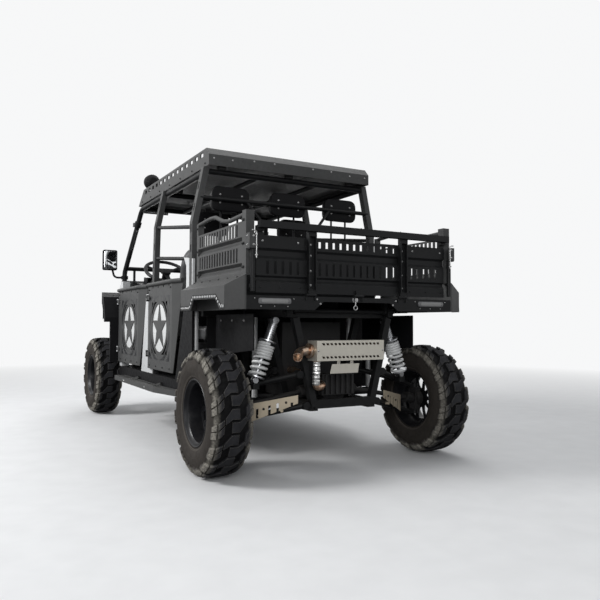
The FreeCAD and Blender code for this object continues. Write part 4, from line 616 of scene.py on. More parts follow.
def tyre_rubber():
    """Painted shade in the grooves, dusty blocks with pale edges, a brown sidewall and two painted highlight lines
    on the bead ridges.
    """
    material = materials["tyre"]
    tree = material.node_tree
    shader = tree.nodes["Principled BSDF"]
    place = add(tree, "TexCoord").outputs["Object"]
    parts = add(tree, "SeparateXYZ", {0: place})
    side = maths(tree, "ABSOLUTE", parts.outputs[0])
    flat = add(tree, "CombineXYZ", {0: 0.0, 1: parts.outputs[1], 2: parts.outputs[2]}).outputs[0]
    radius = add(tree, "VectorMath", {0: flat}, operation="LENGTH").outputs["Value"]
    cloud = noise(tree, place, 9.0, 6.0, Roughness=0.65)
    speck = noise(tree, place, 90.0, 4.0)
    stops = [(at, (value, value, value)) for at, value in CARCASS_RAMP]
    carcass = ramp_of(tree, spread_of(tree, side, 0.0, 0.12), stops)
    top = spread_of(tree, maths(tree, "SUBTRACT", radius, carcass), 0.004, 0.012)
    block = mixed(tree, spread_of(tree, cloud, 0.35, 0.65), BLOCK_DARK, BLOCK_PALE)
    # Painted shade: the grooves and the blocks' feet are darkened to near black.
    tread = mixed(tree, top, GROOVE_SHADE, block)
    outer = spread_of(tree, side, 0.075, 0.108)
    face = spread_of(tree, radius, 0.296, 0.312)
    patchy = spread_of(tree, speck, 0.30, 0.62, 0.35, 0.95)
    colour = mixed(tree, product(tree, outer, face, patchy), tread, BLOCK_DUST)
    soft_normal = add(tree, "Bevel", {"Radius": BLOCK_EDGE_WIDTH}, samples=4).outputs[0]
    edge = spread_of(tree, flatness(tree, soft_normal), 0.992, 0.93)
    colour = mixed(tree, product(tree, edge, top, spread_of(tree, speck, 0.25, 0.6, 0.35, 0.9)), colour, BLOCK_EDGE)
    walls_in, walls_low = spread_of(tree, side, 0.088, 0.104), spread_of(tree, radius, 0.312, 0.292)
    wall = product(tree, walls_in, walls_low, spread_of(tree, cloud, 0.25, 0.7, 0.55, 1.0))
    colour = mixed(tree, wall, colour, WALL_BROWN)
    # Painted highlights: two pale lines on the ridges at the bead.
    for at, half in BEAD_HIGHLIGHT_LINES:
        off = maths(tree, "ABSOLUTE", maths(tree, "SUBTRACT", radius, at))
        colour = mixed(tree, spread_of(tree, off, half, half * 0.4, 0.0, 0.55), colour, BEAD_HIGHLIGHT)
    tree.links.new(colour, shader.inputs["Base Color"])


def make_wheels():
    tyre_rubber()
    for end, side, sign in WHEELS:
        body = f"wheel_{end}_{side}"
        low, high = (Vector(c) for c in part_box(f"tyre_{end}_{side}"))
        centre = (low + high) / 2
        tyre = piece_from(f"tyre_tread_{end}_{side}", tyre_mesh, "tyre", body, centre, smooth=38)
        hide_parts(f"tyre_{end}_{side}")
        rim = piece_from(f"rim_dish_{end}_{side}", lambda work: rim_mesh(work, sign), "rim_black", body, centre,
                         smooth=35)
        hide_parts(f"rim_{end}_{side}")


# Rims

RIM_OUTLINE = (
    # X from the tyre's middle, outwards positive, and radius, round the section of the barrel
    (0.094, 0.1880), (0.101, 0.1885), (0.1035, 0.1850), (0.1020, 0.1800), (0.0960, 0.1760), (0.0880, 0.1730),
    (0.0800, 0.1640), (0.0660, 0.1610), (0.0200, 0.1590), (-0.0200, 0.1560), (-0.0660, 0.1610), (-0.0880, 0.1720),
    (-0.0980, 0.1790), (-0.1020, 0.1850), (-0.0990, 0.1885), (-0.0930, 0.1880), (-0.0920, 0.1800), (-0.0700, 0.1680),
    (-0.0200, 0.1630), (0.0200, 0.1660), (0.0600, 0.1700), (0.0860, 0.1800),
)
DISC_X = -0.012
RIM_HUB = (
    # X from the disc, and radius
    (-0.006, 0.001), (0.030, 0.001), (0.030, 0.026), (0.027, 0.030),
    (0.012, 0.032), (0.010, 0.060), (0.0, 0.066), (-0.006, 0.064),
)
RIM_RING = ((0.012, 0.138), (0.012, 0.162), (0.0, 0.162), (0.0, 0.138))
SPOKE_ROWS = (
    # radius, half width, lift off the disc
    (0.060, 0.014, 0.006),
    (0.090, 0.011, 0.001),
    (0.120, 0.012, 0.002),
    (0.142, 0.020, 0.008),
)
SPOKE_SECTION = ((0.0, -1), (0.007, -0.7), (0.007, 0.7), (0.0, 1), (-0.004, 0.9), (-0.004, -0.9))
WINDOWS = 10
STUDS = 4
STUD_CIRCLE = 0.046


def rim_mesh(work, sign):
    """A deep black rim: flanged barrel, a dished disc with windows, hub, cap and nuts."""
    start = len(work.verts)
    lathe(work, [(x, r) for x, r in RIM_OUTLINE], 96)
    for section, steps in ((RIM_HUB, 64), (RIM_RING, 96)):
        lathe(work, [(DISC_X + x, r) for x, r in section], steps)
    for n in range(WINDOWS):
        spoke(work, 2 * math.pi * n / WINDOWS)
    for y, z in circle(STUDS, STUD_CIRCLE, 0.5):
        nut(work, Vector((DISC_X + 0.010, y, z)), Vector((1, 0, 0)), 0.0085, 0.014)
    if sign < 0:
        bmesh.ops.transform(work, matrix=Matrix.Scale(-1, 4, (1, 0, 0)), verts=work.verts[start:])


def spoke(work, a):
    """A pressed spoke between the hub and the barrel."""
    c, s = math.cos(a), math.sin(a)
    rings = []
    for r, half, lift in SPOKE_ROWS:
        section = [(DISC_X + lift + rise, side * half) for rise, side in SPOKE_SECTION]
        rings.append([work.verts.new((x, r * c - y * s, r * s + y * c)) for x, y in section])
    closed_over(work, rings)


def nut(work, place, way, radius, length, sides=6):
    """A bolt head or nut with a chamfered end."""
    turn = way.to_track_quat("Z", "Y").to_matrix()
    rings = []
    for at, r in ((0.0, radius), (length * 0.8, radius), (length, radius * 0.8)):
        rings.append([work.verts.new(place + turn @ Vector((x, y, at))) for x, y in circle(sides, r)])
    closed_over(work, rings)


# Springs

SPRINGS = (
    # Y, top X, top Z, foot X, foot Z of each left shock's axis, in metres
    (1.522, 0.395, 0.868, 0.520, 0.520),
    (-1.487, 0.385, 0.850, 0.520, 0.524),
)
COIL_R = 0.044
WIRE_R = 0.0080
COIL_SHARES = (0.345, 0.925)
CLOSE_TURNS = 5.0
OPEN_TURNS = 3.5
CLOSE_SHARE = 0.42


def tube_along(work, points, radius, sides=10):
    """A round tube through points, turned as little as it can be from one to the next."""
    rings = []
    up = Vector((0, 0, 1))
    for n, spot in enumerate(points):
        ahead = points[min(n + 1, len(points) - 1)] - points[max(n - 1, 0)]
        ahead.normalize()
        side = ahead.cross(up)
        if side.length < 1e-4:
            side = ahead.cross(Vector((0, 1, 0)))
        side.normalize()
        up = side.cross(ahead).normalized()
        r = radius[n] if isinstance(radius, (list, tuple)) else radius
        rings.append([work.verts.new(spot + side * x + up * y) for x, y in circle(sides, r)])
    closed_over(work, rings)


def spring_mesh(work):
    """All four coil springs: close coils above, open coils below."""
    for y, top_x, top_z, foot_x, foot_z in SPRINGS:
        for side, sign in SIDES:
            top, foot = Vector((top_x * sign, y, top_z)), Vector((foot_x * sign, y, foot_z))
            way = (foot - top).normalized()
            length = (foot - top).length
            turn = way.to_track_quat("Z", "Y").to_matrix()
            start, end = (length * share for share in COIL_SHARES)
            start, end = start + WIRE_R + 0.008, end - WIRE_R
            turns = CLOSE_TURNS + OPEN_TURNS
            points = []
            steps = int(turns * 20)
            for n in range(steps + 1):
                t = turns * n / steps
                if t < CLOSE_TURNS:
                    share = CLOSE_SHARE * t / CLOSE_TURNS
                else:
                    share = CLOSE_SHARE + (1 - CLOSE_SHARE) * (t - CLOSE_TURNS) / OPEN_TURNS
                a = 2 * math.pi * t * sign
                at = start + (end - start) * share
                points.append(top + turn @ Vector((COIL_R * math.cos(a), COIL_R * math.sin(a), at)))
            tube_along(work, points, WIRE_R)


def make_springs():
    springs = piece_from("coil_springs", spring_mesh, "white_paint", "chassis", smooth=60)
    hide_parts("springs")


# Seats

Pad = namedtuple("Pad", "name outline half places places_x dish seam channels taper voxel swell fine node")
PADS = (
    # outline: Y and Z in millimetres, the shown face's two ends first; places: seats side by side on it
    Pad("seat_cushion_front", ((-420, 820.3), (94.7, 820.3), (94.7, 700.3), (-420, 700.3)), 250, 1, (340, -340),
        0.016, 0.62, (0.20, 0.38, 0.56, 0.74), 0.0, 0.009, 0.022, True, "seat_cushions"),
    Pad("seat_back_front", ((95, 700.3), (290, 1440), (390, 1440), (200, 700.3)), 250, 1, (340, -340),
        0.022, 0.60, (0.22, 0.36, 0.50, 0.64, 0.80), 0.50, 0.009, 0.022, True, "seat_backs"),
    Pad("bench_cushion", ((400, 840.3), (844.7, 840.3), (844.7, 720.3), (400, 720.3)), 590, 3, (0,),
        0.012, 0.80, (0.26, 0.46, 0.66), 0.0, 0.008, 0.020, False, "seat_cushions"),
    Pad("bench_back", ((845, 720.3), (880, 1400), (938, 1400), (940, 720.3)), 590, 3, (0,),
        0.012, 0.80, (0.24, 0.40, 0.56, 0.72), 0.08, 0.009, 0.018, False, "seat_backs"),
)
PAD_INSET = 0.015
PAD_PROUD = 0.006
PAD_SOFT = 0.006
SEAM_WIDTH = 0.006
SEAM_DEPTH = 0.0075
PLACE_SEAM_DEPTH = 0.010
CHANNEL_WIDTH = 0.008
CHANNEL_DEPTH = 0.0065
SHOULDER = (0.74, 0.26)
SHOULDER_MOST = 1.06
PIPING_R = 0.0032
CLOTH_FRAMES = 20
CLOTH_PRESSURE = 4.0


def smooth_step(low, high, value):
    share = min(1.0, max(0.0, (value - low) / (high - low)))
    return share * share * (3 - 2 * share)


def drawn_in(points, inset):
    """A convex outline moved in by the same distance on every side; its points run clockwise seen along X."""
    out = []
    count = len(points)
    for n in range(count):
        before, here, after = points[n - 1], points[n], points[(n + 1) % count]
        into, away = (here - before).normalized(), (after - here).normalized()
        first, second = Vector((into.y, -into.x)), Vector((away.y, -away.x))
        middle = (first + second).normalized()
        out.append(here + middle * (inset / max(0.3, middle.dot(first))))
    return out


def remeshed(name, mesh_maker, voxel):
    """A closed form built again from cubes of one size, ready for cloth."""
    holder = put(name, mesh_from(name, mesh_maker))
    remesh = holder.modifiers.new("remesh", "REMESH")
    remesh.mode = "VOXEL"
    remesh.voxel_size = voxel
    made = applied(holder)
    bpy.data.objects.remove(holder)
    return made


def applied(holder):
    """The holder's mesh with its modifiers worked in."""
    shown = holder.evaluated_get(bpy.context.evaluated_depsgraph_get())
    return bpy.data.meshes.new_from_object(shown)


def swollen(forms):
    """Blows the closed forms up as cloth, all in one run, and caps how far each point moves."""
    scene = bpy.context.scene
    holders = []
    for name, mesh, swell in forms:
        holder = put(name + "_cloth", mesh)
        cloth = holder.modifiers.new("cloth", "CLOTH")
        cloth.settings.use_pressure = True
        cloth.settings.uniform_pressure_force = CLOTH_PRESSURE
        cloth.settings.effector_weights.gravity = 0
        cloth.settings.quality = 4
        cloth.point_cache.frame_start = 1
        cloth.point_cache.frame_end = CLOTH_FRAMES
        holders.append(holder)
    for number in range(1, CLOTH_FRAMES + 1):
        scene.frame_set(number)
    blown = [applied(holder) for holder in holders]
    for holder, result, (name, mesh, swell) in zip(holders, blown, forms):
        for vertex, moved in zip(mesh.vertices, result.vertices):
            step = moved.co - vertex.co
            if step.length > swell:
                step *= swell / step.length
            vertex.co += step
        bpy.data.objects.remove(holder)
        bpy.data.meshes.remove(result)
    scene.frame_set(1)


def pad_form(pad):
    """The start of a pad: its outline drawn in, carried across and rounded off."""
    def make(work):
        outline = drawn_in([Vector((y, z)) * 0.001 for y, z in pad.outline], PAD_INSET)
        half = pad.half * 0.001 - PAD_INSET
        ends = [[work.verts.new((x, p.x, p.y)) for p in outline] for x in (-half, half)]
        walls(work, ends)
        work.faces.new(ends[0])
        work.faces.new(ends[1][::-1])
        bmesh.ops.bevel(work, geom=work.edges, offset=0.024, segments=3, profile=0.6, affect="EDGES")
    return make


def pad_share(pad, share):
    """A place across one seat, from -1 to 1, from the place across the whole pad."""
    at = (share + 1) / 2 * pad.places
    return (at - min(int(at), pad.places - 1)) * 2 - 1


def narrowed(pad, t):
    """How wide a pad is at a share of its length, as a share of its full width."""
    first, length = SHOULDER
    return 1 - pad.taper * min(SHOULDER_MOST, max(0.0, (t - first) / length)) ** 3


def shape_pad(pad, mesh):
    """Presses the seat's hollow, seams and sewn channels in, and keeps the pad within its own room."""
    points = [Vector((y, z)) * 0.001 for y, z in pad.outline]
    start, end = points[0], points[1]
    length = (end - start).length
    along = (end - start) / length
    out = Vector((-along.y, along.x))
    sides = []
    for n in range(1, len(points)):
        here, after = points[n], points[(n + 1) % len(points)]
        way = (after - here).normalized()
        sides.append((here, Vector((way.y, -way.x))))
    half = pad.half * 0.001

    def kept(inside):
        return inside if inside > PAD_SOFT else PAD_SOFT * math.exp((inside - PAD_SOFT) / PAD_SOFT)

    for vertex in mesh.vertices:
        x, y, z = vertex.co
        spot = Vector((y, z))
        for corner, inward in sides:
            inside = (spot - corner).dot(inward)
            spot += inward * (kept(inside) - inside)
        proud = PAD_PROUD * smooth_step(0.12, 0.30, (spot - start).dot(along) / length)
        depth = -(spot - start).dot(out) + proud
        spot -= out * (kept(depth) - depth)
        depth = kept(depth)
        x = math.copysign(half - kept(half - abs(x)), x)
        share = x / half
        t = (spot - start).dot(along) / length
        near = 1 - smooth_step(0.020, 0.050, depth)
        v = pad_share(pad, share)
        inner = 1 - smooth_step(pad.seam - 0.20, pad.seam + 0.10, abs(v))
        window = smooth_step(-0.02, 0.22, t) * (1 - smooth_step(0.80, 1.02, t))
        press = pad.dish * inner * window
        seam_width = SEAM_WIDTH / (half / pad.places)
        press += SEAM_DEPTH * math.exp(-((abs(v) - pad.seam) / seam_width) ** 2)
        if pad.places > 1 and abs(share) < 0.9:
            press += PLACE_SEAM_DEPTH * math.exp(-((abs(v) - 1) / seam_width) ** 2)
        across_insert = 1 - smooth_step(pad.seam - 0.05, pad.seam, abs(v))
        for at in pad.channels:
            press += CHANNEL_DEPTH * across_insert * math.exp(-((t - at) * length / CHANNEL_WIDTH) ** 2)
        spot -= out * press * near
        x *= narrowed(pad, t)
        vertex.co = Vector((x, spot.x, spot.y))


def finer(mesh, name):
    """The mesh with one level of subdivision worked in."""
    holder = put(name + "_fine", mesh)
    holder.modifiers.new("subdivision", "SUBSURF").levels = 1
    made = applied(holder)
    bpy.data.objects.remove(holder)
    return made


def pad_piping(pad, mesh):
    """Cord covers along the seams, laid on the finished surface."""
    tree = tree_from(mesh)
    start, end = (Vector((y, z)) * 0.001 for y, z in pad.outline[:2])
    along = (end - start).normalized()
    out = Vector((0, -along.y, along.x))
    lines = []
    for place in range(pad.places):
        for side in (-1, 1):
            share = ((place + (side * pad.seam + 1) / 2) / pad.places) * 2 - 1
            line = []
            for n in range(61):
                t = 0.04 + 0.92 * n / 60
                x = share * pad.half * 0.001 * narrowed(pad, t)
                spot = start.lerp(end, t)
                place_on = Vector((x, spot.x, spot.y)) + out * 0.05
                hit = tree.ray_cast(place_on, -out)[0]
                if hit is not None:
                    line.append(hit + out * 0.0015)
            lines.append(line)
    return lines


def finish_pad(pad, mesh):
    """The pad's pieces, one on each of its places: insert and sides in their own vinyl, with piping."""
    lines = pad_piping(pad, mesh)
    half = pad.half * 0.001
    start, end = (Vector((y, z)) * 0.001 for y, z in pad.outline[:2])
    along = (end - start) / (end - start).length ** 2
    work = bmesh.new()
    work.from_mesh(mesh)
    for face in work.faces:
        centre = face.calc_center_median()
        t = (Vector((centre.y, centre.z)) - start).dot(along)
        on_side = abs(pad_share(pad, centre.x / (half * narrowed(pad, t)))) > pad.seam
        face.material_index = 1 if on_side else 0
        face.smooth = True
    plain = len(work.faces)
    for line in lines:
        tube_along(work, line, PIPING_R, 8)
    work.faces.ensure_lookup_table()
    for face in work.faces[plain:]:
        face.material_index = 2
        face.smooth = True
    for number, x in enumerate(pad.places_x):
        own = bpy.data.meshes.new(f"{pad.name}_{number}")
        work.to_mesh(own)
        own.transform(Matrix.Translation((x * 0.001, 0, 0)))
        for finish in ("seat_vinyl", "seat_side", "seat_piping"):
            own.materials.append(materials[finish])
        piece = put(own.name, own)
        bpy.context.view_layer.update()
        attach(piece, "chassis")
        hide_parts(pad.node)
    work.free()


Head = namedtuple("Head", "name half low top front shell back post_y foot places")
HEAD_PADS = (
    # name, half width, low Z, top Z, Y of the pad's front and the shell's front and rear, post Y, foot Z, X
    Head("front", 130, 1500, 1680, 315, 381, 395, 345, 1440.3, (340, -340)),
    Head("rear", 140, 1588, 1758, 880, 932, 945, 910, 1400.3, (430, 0, -430)),
)
HEAD_INSET = 6.0
HEAD_CORNER = 0.055
HEAD_POST_R = 0.007
HEAD_POST_X = 60
HEAD_VOXEL = 0.006
HEAD_SWELL = 0.009
HEAD_SEAM_BACK = 38
HEAD_SEAM_WIDTH = 0.0045
HEAD_SEAM_DEPTH = 0.004


def head_form(head):
    """The start of a headrest's pad."""
    def make(work):
        wide, high = (head.half - HEAD_INSET) * 0.002, (head.top - head.low - 2 * HEAD_INSET) * 0.001
        outline = rounded_box_outline(wide, high, HEAD_CORNER)
        place = mm(0, head.shell - 1, (head.low + head.top) / 2)
        slab(work, outline, (head.shell - head.front - HEAD_INSET) * 0.001, 0.016, (0, -1, 0), place)
    return make


def head_shell(work, head):
    """The moulded back of a headrest, and its two posts with collars."""
    outline = rounded_box_outline(head.half * 0.00192, (head.top - head.low) * 0.00096, HEAD_CORNER)
    place = mm(0, head.shell, (head.low + head.top) / 2)
    slab(work, outline, (head.back - head.shell) * 0.001, 0.008, (0, 1, 0), place)
    for x in (-HEAD_POST_X, HEAD_POST_X):
        foot, top = mm(x, head.post_y, head.foot), mm(x, head.post_y, head.low + 30)
        tube_along(work, [foot, foot.lerp(top, 0.5), top], HEAD_POST_R, 16)
        lathe(work, [(0, HEAD_POST_R), (0, 0.013), (0.006, 0.012), (0.008, HEAD_POST_R)], 24,
              way=(0, 0, 1), place=foot + mm(0, 0, 0.2))


def make_seats():
    forms = [(pad.name, remeshed(pad.name, pad_form(pad), pad.voxel), pad.swell) for pad in PADS]
    for head in HEAD_PADS:
        forms.append((f"headrest_pad_{head.name}", remeshed(head.name, head_form(head), HEAD_VOXEL), HEAD_SWELL))
    swollen(forms)
    for pad, (name, mesh, _) in zip(PADS, forms):
        mesh = finer(mesh, name) if pad.fine else mesh
        shape_pad(pad, mesh)
        finish_pad(pad, mesh)
    for head, (name, mesh, _) in zip(HEAD_PADS, forms[len(PADS):]):
        for vertex in mesh.vertices:
            vertex.co.y = min(vertex.co.y, head.shell * 0.001)
            seam = math.exp(-((vertex.co.y - (head.front + HEAD_SEAM_BACK) * 0.001) / HEAD_SEAM_WIDTH) ** 2)
            centre = Vector((0, vertex.co.y, (head.low + head.top) * 0.0005))
            vertex.co += (centre - vertex.co).normalized() * (HEAD_SEAM_DEPTH * seam)
        mesh.materials.append(materials["seat_vinyl"])
        mesh.shade_smooth()
        for number, x in enumerate(head.places):
            own = mesh.copy()
            own.transform(Matrix.Translation((x * 0.001, 0, 0)))
            piece = put(f"{name}_{number}", own)
            piece.modifiers.new("subdivision", "SUBSURF").levels = 1
            bpy.context.view_layer.update()
            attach(piece, "chassis")
            holder = piece_from(f"headrest_shell_{head.name}_{number}", lambda work: head_shell(work, head),
                                "black_plastic", "chassis", mm(x, 0, 0), smooth=30)
            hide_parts("headrests")


# Lamps, mirrors and reflectors

LAMP_PLACES = (
    # name, X, rear Y, Z, share of the bowl's full depth, post or not; the right ones mirror them
    ("grille", 455, -1755.3, 884, 0.6, False),
    ("roof", 545, -482, 2064, 1.5, True),
)
LAMP_BOWL = (
    # how far ahead of the rear, radius, in millimetres: outside, then back inside to the reflector's seat
    (0, 1), (0, 30), (3, 34), (12, 54), (22, 58.5), (34, 63), (40, 64.6), (56, 64.6), (58, 63.8), (58, 60),
    (56, 58.5), (50, 58), (47, 56), (20, 40), (8, 20), (4, 1),
)
LAMP_REFLECTOR = (
    (47, 57.5), (36, 51), (24, 41), (15, 29), (10, 16), (9, 1), (10.5, 1), (11.5, 16), (16.5, 28.5), (25, 40),
    (37, 50), (48, 56.5),
)
LAMP_SCREW_CIRCLE = 61.5
LAMP_LENS = ((50, 0.5), (50, 57.5), (53, 57.5), (55.5, 40), (56.5, 20), (57, 0.5))


def lamp_part(work, profile, depth, x, y, z, ribs=False):
    rows = [(a * depth * 0.001, r * 0.001) for a, r in profile]
    made = lathe(work, rows, 96, way=(0, -1, 0), place=mm(x, y, z))
    if not ribs:
        return
    centre = mm(x, y, z)
    for number, vertex in enumerate(made):
        spoke_number = number // len(profile)
        off = vertex.co - centre
        radius = math.hypot(off.x, off.z)
        if 0.033 < radius < 0.060 and -off.y < 30 * depth * 0.001 and spoke_number % 4 < 2:
            grow = 1 + 0.0032 / radius
            vertex.co.x = centre.x + off.x * grow
            vertex.co.z = centre.z + off.z * grow


def make_lamp_pieces():
    for name, x, y, z, depth, post in LAMP_PLACES:
        for side, sign in SIDES:
            spot = (depth, x * sign, y, z)
            housing = piece_from(f"lamp_{name}_{side}", lambda work: lamp_housing(work, post, *spot),
                                 "black_plastic", "chassis", smooth=35)
            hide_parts("lamps")
            piece_from(f"lamp_reflector_{name}_{side}", lambda work: lamp_part(work, LAMP_REFLECTOR, *spot),
                       "mirror_face", "chassis", smooth=60)
            piece_from(f"lamp_lens_{name}_{side}", lambda work: lamp_part(work, LAMP_LENS, *spot),
                       "lamp_glass", "chassis", smooth=50)


def lamp_housing(work, post, depth, x, y, z):
    """The ribbed bowl with its rim screws, and the roof lamps' post with its flared foot and a nut at the yoke."""
    lamp_part(work, LAMP_BOWL, depth, x, y, z, ribs=True)
    for dx, dz in circle(6, LAMP_SCREW_CIRCLE, 0.5):
        nut(work, mm(x + dx, y - 57.6 * depth, z + dz), Vector((0, -1, 0)), 0.0022, 0.0005, 10)
    if not post:
        return
    top = mm(x, y - 18, z - 30)
    base = tree_of("roof").ray_cast(top, Vector((0, 0, -1)))[0]
    base.z += 0.0003
    tube_along(work, [base, base.lerp(top, 0.5), top], 0.009, 20)
    lathe(work, [(0, 0.009), (0, 0.019), (0.004, 0.018), (0.010, 0.011), (0.018, 0.009)], 28,
          way=(0, 0, 1), place=base)
    yoke = mm(x, y - 18, z - 46)
    nut(work, yoke + mm(-13, 0, 0), Vector((1, 0, 0)), 0.009, 0.026, 12)


MIRROR_GLASS = (
    # name, centre X, Y, Z, width, height of each glass
    ("left", 806.5, -915, 1410, 105, 160),
    ("right", -806.5, -915, 1410, 105, 160),
    ("inside", 467.5, -667.3, 1834, 205, 36),
)


def make_mirror_glass():
    for name, x, y, z, width, height in MIRROR_GLASS:
        glass = rounded_box_outline(width * 0.001, height * 0.001, 0.014)
        rim = rounded_box_outline((width + 8) * 0.001, (height + 8) * 0.001, 0.016)
        at, ahead = mm(x, y, z), mm(x, y + 1.4, z)
        piece_from(f"mirror_rim_{name}", lambda work: slab(work, rim, 0.0016, 0.001, (0, 1, 0), at),
                   "black_plastic", "chassis", smooth=30)
        piece_from(f"mirror_glass_{name}", lambda work: slab(work, glass, 0.0012, 0.0008, (0, 1, 0), ahead),
                   "mirror_face", "chassis", smooth=30)


def make_rear_lamps():
    """The grey strips at the foot of the bed: a bezel with a ribbed lens that stands out of it."""
    for side, sign in SIDES:
        at = mm(535 * sign, 1803.3, 971)
        bezel = rounded_box_outline(0.196, 0.032, 0.013)
        lens = rounded_box_outline(0.158, 0.021, 0.009)

        def strip(work):
            slab(work, lens, 0.0105, 0.0025, (0, 1, 0), at)
            for n in range(15):
                rib = rounded_box_outline(0.0022, 0.017, 0.0008)
                slab(work, rib, 0.0115, 0.0008, (0, 1, 0), at + mm(-70 + 10 * n, 0, 0))

        base = piece_from(f"rear_lamp_bezel_{side}", lambda work: slab(work, bezel, 0.008, 0.003, (0, 1, 0), at),
                          "tail_lens", "dump_bed", smooth=30)
        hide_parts("rear_lamps")
        piece_from(f"rear_lamp_lens_{side}", strip, "seat_piping", "dump_bed", smooth=30)


# Steering wheel and dash

WHEEL_CENTRE = (400, -590, 1300)
WHEEL_WAY = (0, 2, 3)
GRIP_R = 0.175
GRIP_WIRE_R = 0.0148
GRIP_SIDES = 14
GRIP_STEPS = 120
WHEEL_SPOKE_ROWS = (
    # radius, half width, lift along the column
    (0.028, 0.026, -0.006),
    (0.070, 0.019, -0.009),
    (0.120, 0.015, -0.007),
    (0.166, 0.013, -0.002),
)
WHEEL_SPOKE_SECTION = ((-1, -0.6), (-1, 0.6), (-0.7, 1), (0.7, 1), (1, 0.6), (1, -0.6), (0.7, -1), (-0.7, -1))
WHEEL_HUB = (
    (-0.0197, 0.001), (-0.0197, 0.030), (-0.012, 0.044), (0.003, 0.045), (0.007, 0.042), (0.007, 0.036),
    (0.0095, 0.034), (0.0100, 0.001),
)


def wheel_rim(work):
    """The grip: a round section that is thinner where the hands rest."""
    profile = [(x, GRIP_R + r) for x, r in circle(GRIP_SIDES, GRIP_WIRE_R)]
    made = lathe(work, profile, GRIP_STEPS)
    for number, vertex in enumerate(made):
        a = 2 * math.pi * (number // GRIP_SIDES) / GRIP_STEPS
        core = Vector((0, math.cos(a), math.sin(a))) * GRIP_R
        bumps = 0.10 * (0.5 + 0.5 * math.cos(a * 36)) * smooth_step(0.2, 0.8, abs(math.sin(a)))
        vertex.co = core + (vertex.co - core) * (1 - bumps)


def wheel_body(work):
    """Three dished spokes, the hub and its cap."""
    for n in range(3):
        a = math.radians(90 + 120 * n)
        way, across_way = Vector((0, math.cos(a), math.sin(a))), Vector((0, -math.sin(a), math.cos(a)))
        rings = []
        for reach, half, lift in WHEEL_SPOKE_ROWS:
            rings.append([work.verts.new(way * reach + across_way * (u * half) + Vector((lift + v * 0.004, 0, 0)))
                          for u, v in WHEEL_SPOKE_SECTION])
        closed_over(work, rings)
    lathe(work, WHEEL_HUB, 64)
    for y, z in circle(6, 0.039):
        nut(work, Vector((0.0068, y, z)), Vector((1, 0, 0)), 0.0026, 0.002)


def make_steering_wheel():
    turn = Vector(WHEEL_WAY).normalized()
    across_way = Vector((1, 0, 0))
    frame_turn = Matrix((turn, across_way, turn.cross(across_way))).transposed().to_4x4()
    place = Matrix.Translation(mm(*WHEEL_CENTRE)) @ frame_turn

    def laid(maker):
        def make(work):
            maker(work)
            bmesh.ops.transform(work, matrix=place, verts=work.verts)
        return make

    grip = piece_from("steering_grip", laid(wheel_rim), "seat_vinyl", "steering_wheel", smooth=60)
    hub = piece_from("steering_hub", laid(wheel_body), "black_plastic", "steering_wheel", smooth=30)
    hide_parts("steering_wheel")
    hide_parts("steering_wheel")


DIALS = (
    # X, radius of the three dials in the gauge hood
    (335, 16), (400, 18), (465, 16),
)
SWITCHES_X = (-80, -44, -8, 28, 64, 100)


def make_dash():
    """The gauge panel with plain dials, and a row of rocker switches."""
    y, z = -759.4, 1218

    def panel(work):
        slab(work, rounded_box_outline(0.208, 0.040, 0.008), 0.003, 0.0012, (0, 1, 0), mm(400, y, z))

    def bezels(work):
        for x, r in DIALS:
            ring = ((0.003, r), (0.0055, r), (0.0062, r - 1), (0.003, r - 2))
            lathe(work, [(a, b * 0.001) for a, b in ring], 48, way=(0, 1, 0), place=mm(x, y, z))

    def marks(work):
        for x, r in DIALS:
            for n in range(11):
                a = math.radians(-30 + 24 * n)
                at = mm(x + (r - 4) * math.cos(a), y + 2.9, z + (r - 4) * math.sin(a))
                nut(work, at, Vector((0, 1, 0)), 0.0006, 0.0005, 4)
            hub, tip = mm(x, y + 4.0, z), mm(x - (r - 5) * 0.7, y + 4.0, z + (r - 5) * 0.7)
            tube_along(work, [hub, hub.lerp(tip, 0.5), tip], [0.0012, 0.0008, 0.0004], 8)
            nut(work, mm(x, y + 2.9, z), Vector((0, 1, 0)), 0.0022, 0.0018, 16)

    piece_from("gauge_panel", panel, "dial_face", "chassis", smooth=30)
    piece_from("gauge_bezels", bezels, "bolt_zinc", "chassis", smooth=40)
    piece_from("gauge_marks", marks, "dial_mark", "chassis", smooth=30)
    way = Vector((0, 110, 60)).normalized()

    def rockers(work):
        for x in SWITCHES_X:
            spot = tree_of("dashboard").ray_cast(mm(x, -600, 1160), Vector((0, -1, 0)))[0]
            slab(work, rounded_box_outline(0.028, 0.046, 0.004), 0.0025, 0.0012, way, spot)
            slab(work, rounded_box_outline(0.021, 0.036, 0.003), 0.0075, 0.0035, way, spot)

    piece_from("dash_switches", rockers, "black_plastic", "chassis", smooth=30)


# Fasteners

TREES = {}


def tree_of(node):
    """A search tree of a node's solids, whose points are in the frame's coordinates."""
    if node not in TREES:
        TREES[node] = tree_from(frame["nodes"][node].data)
    return TREES[node]


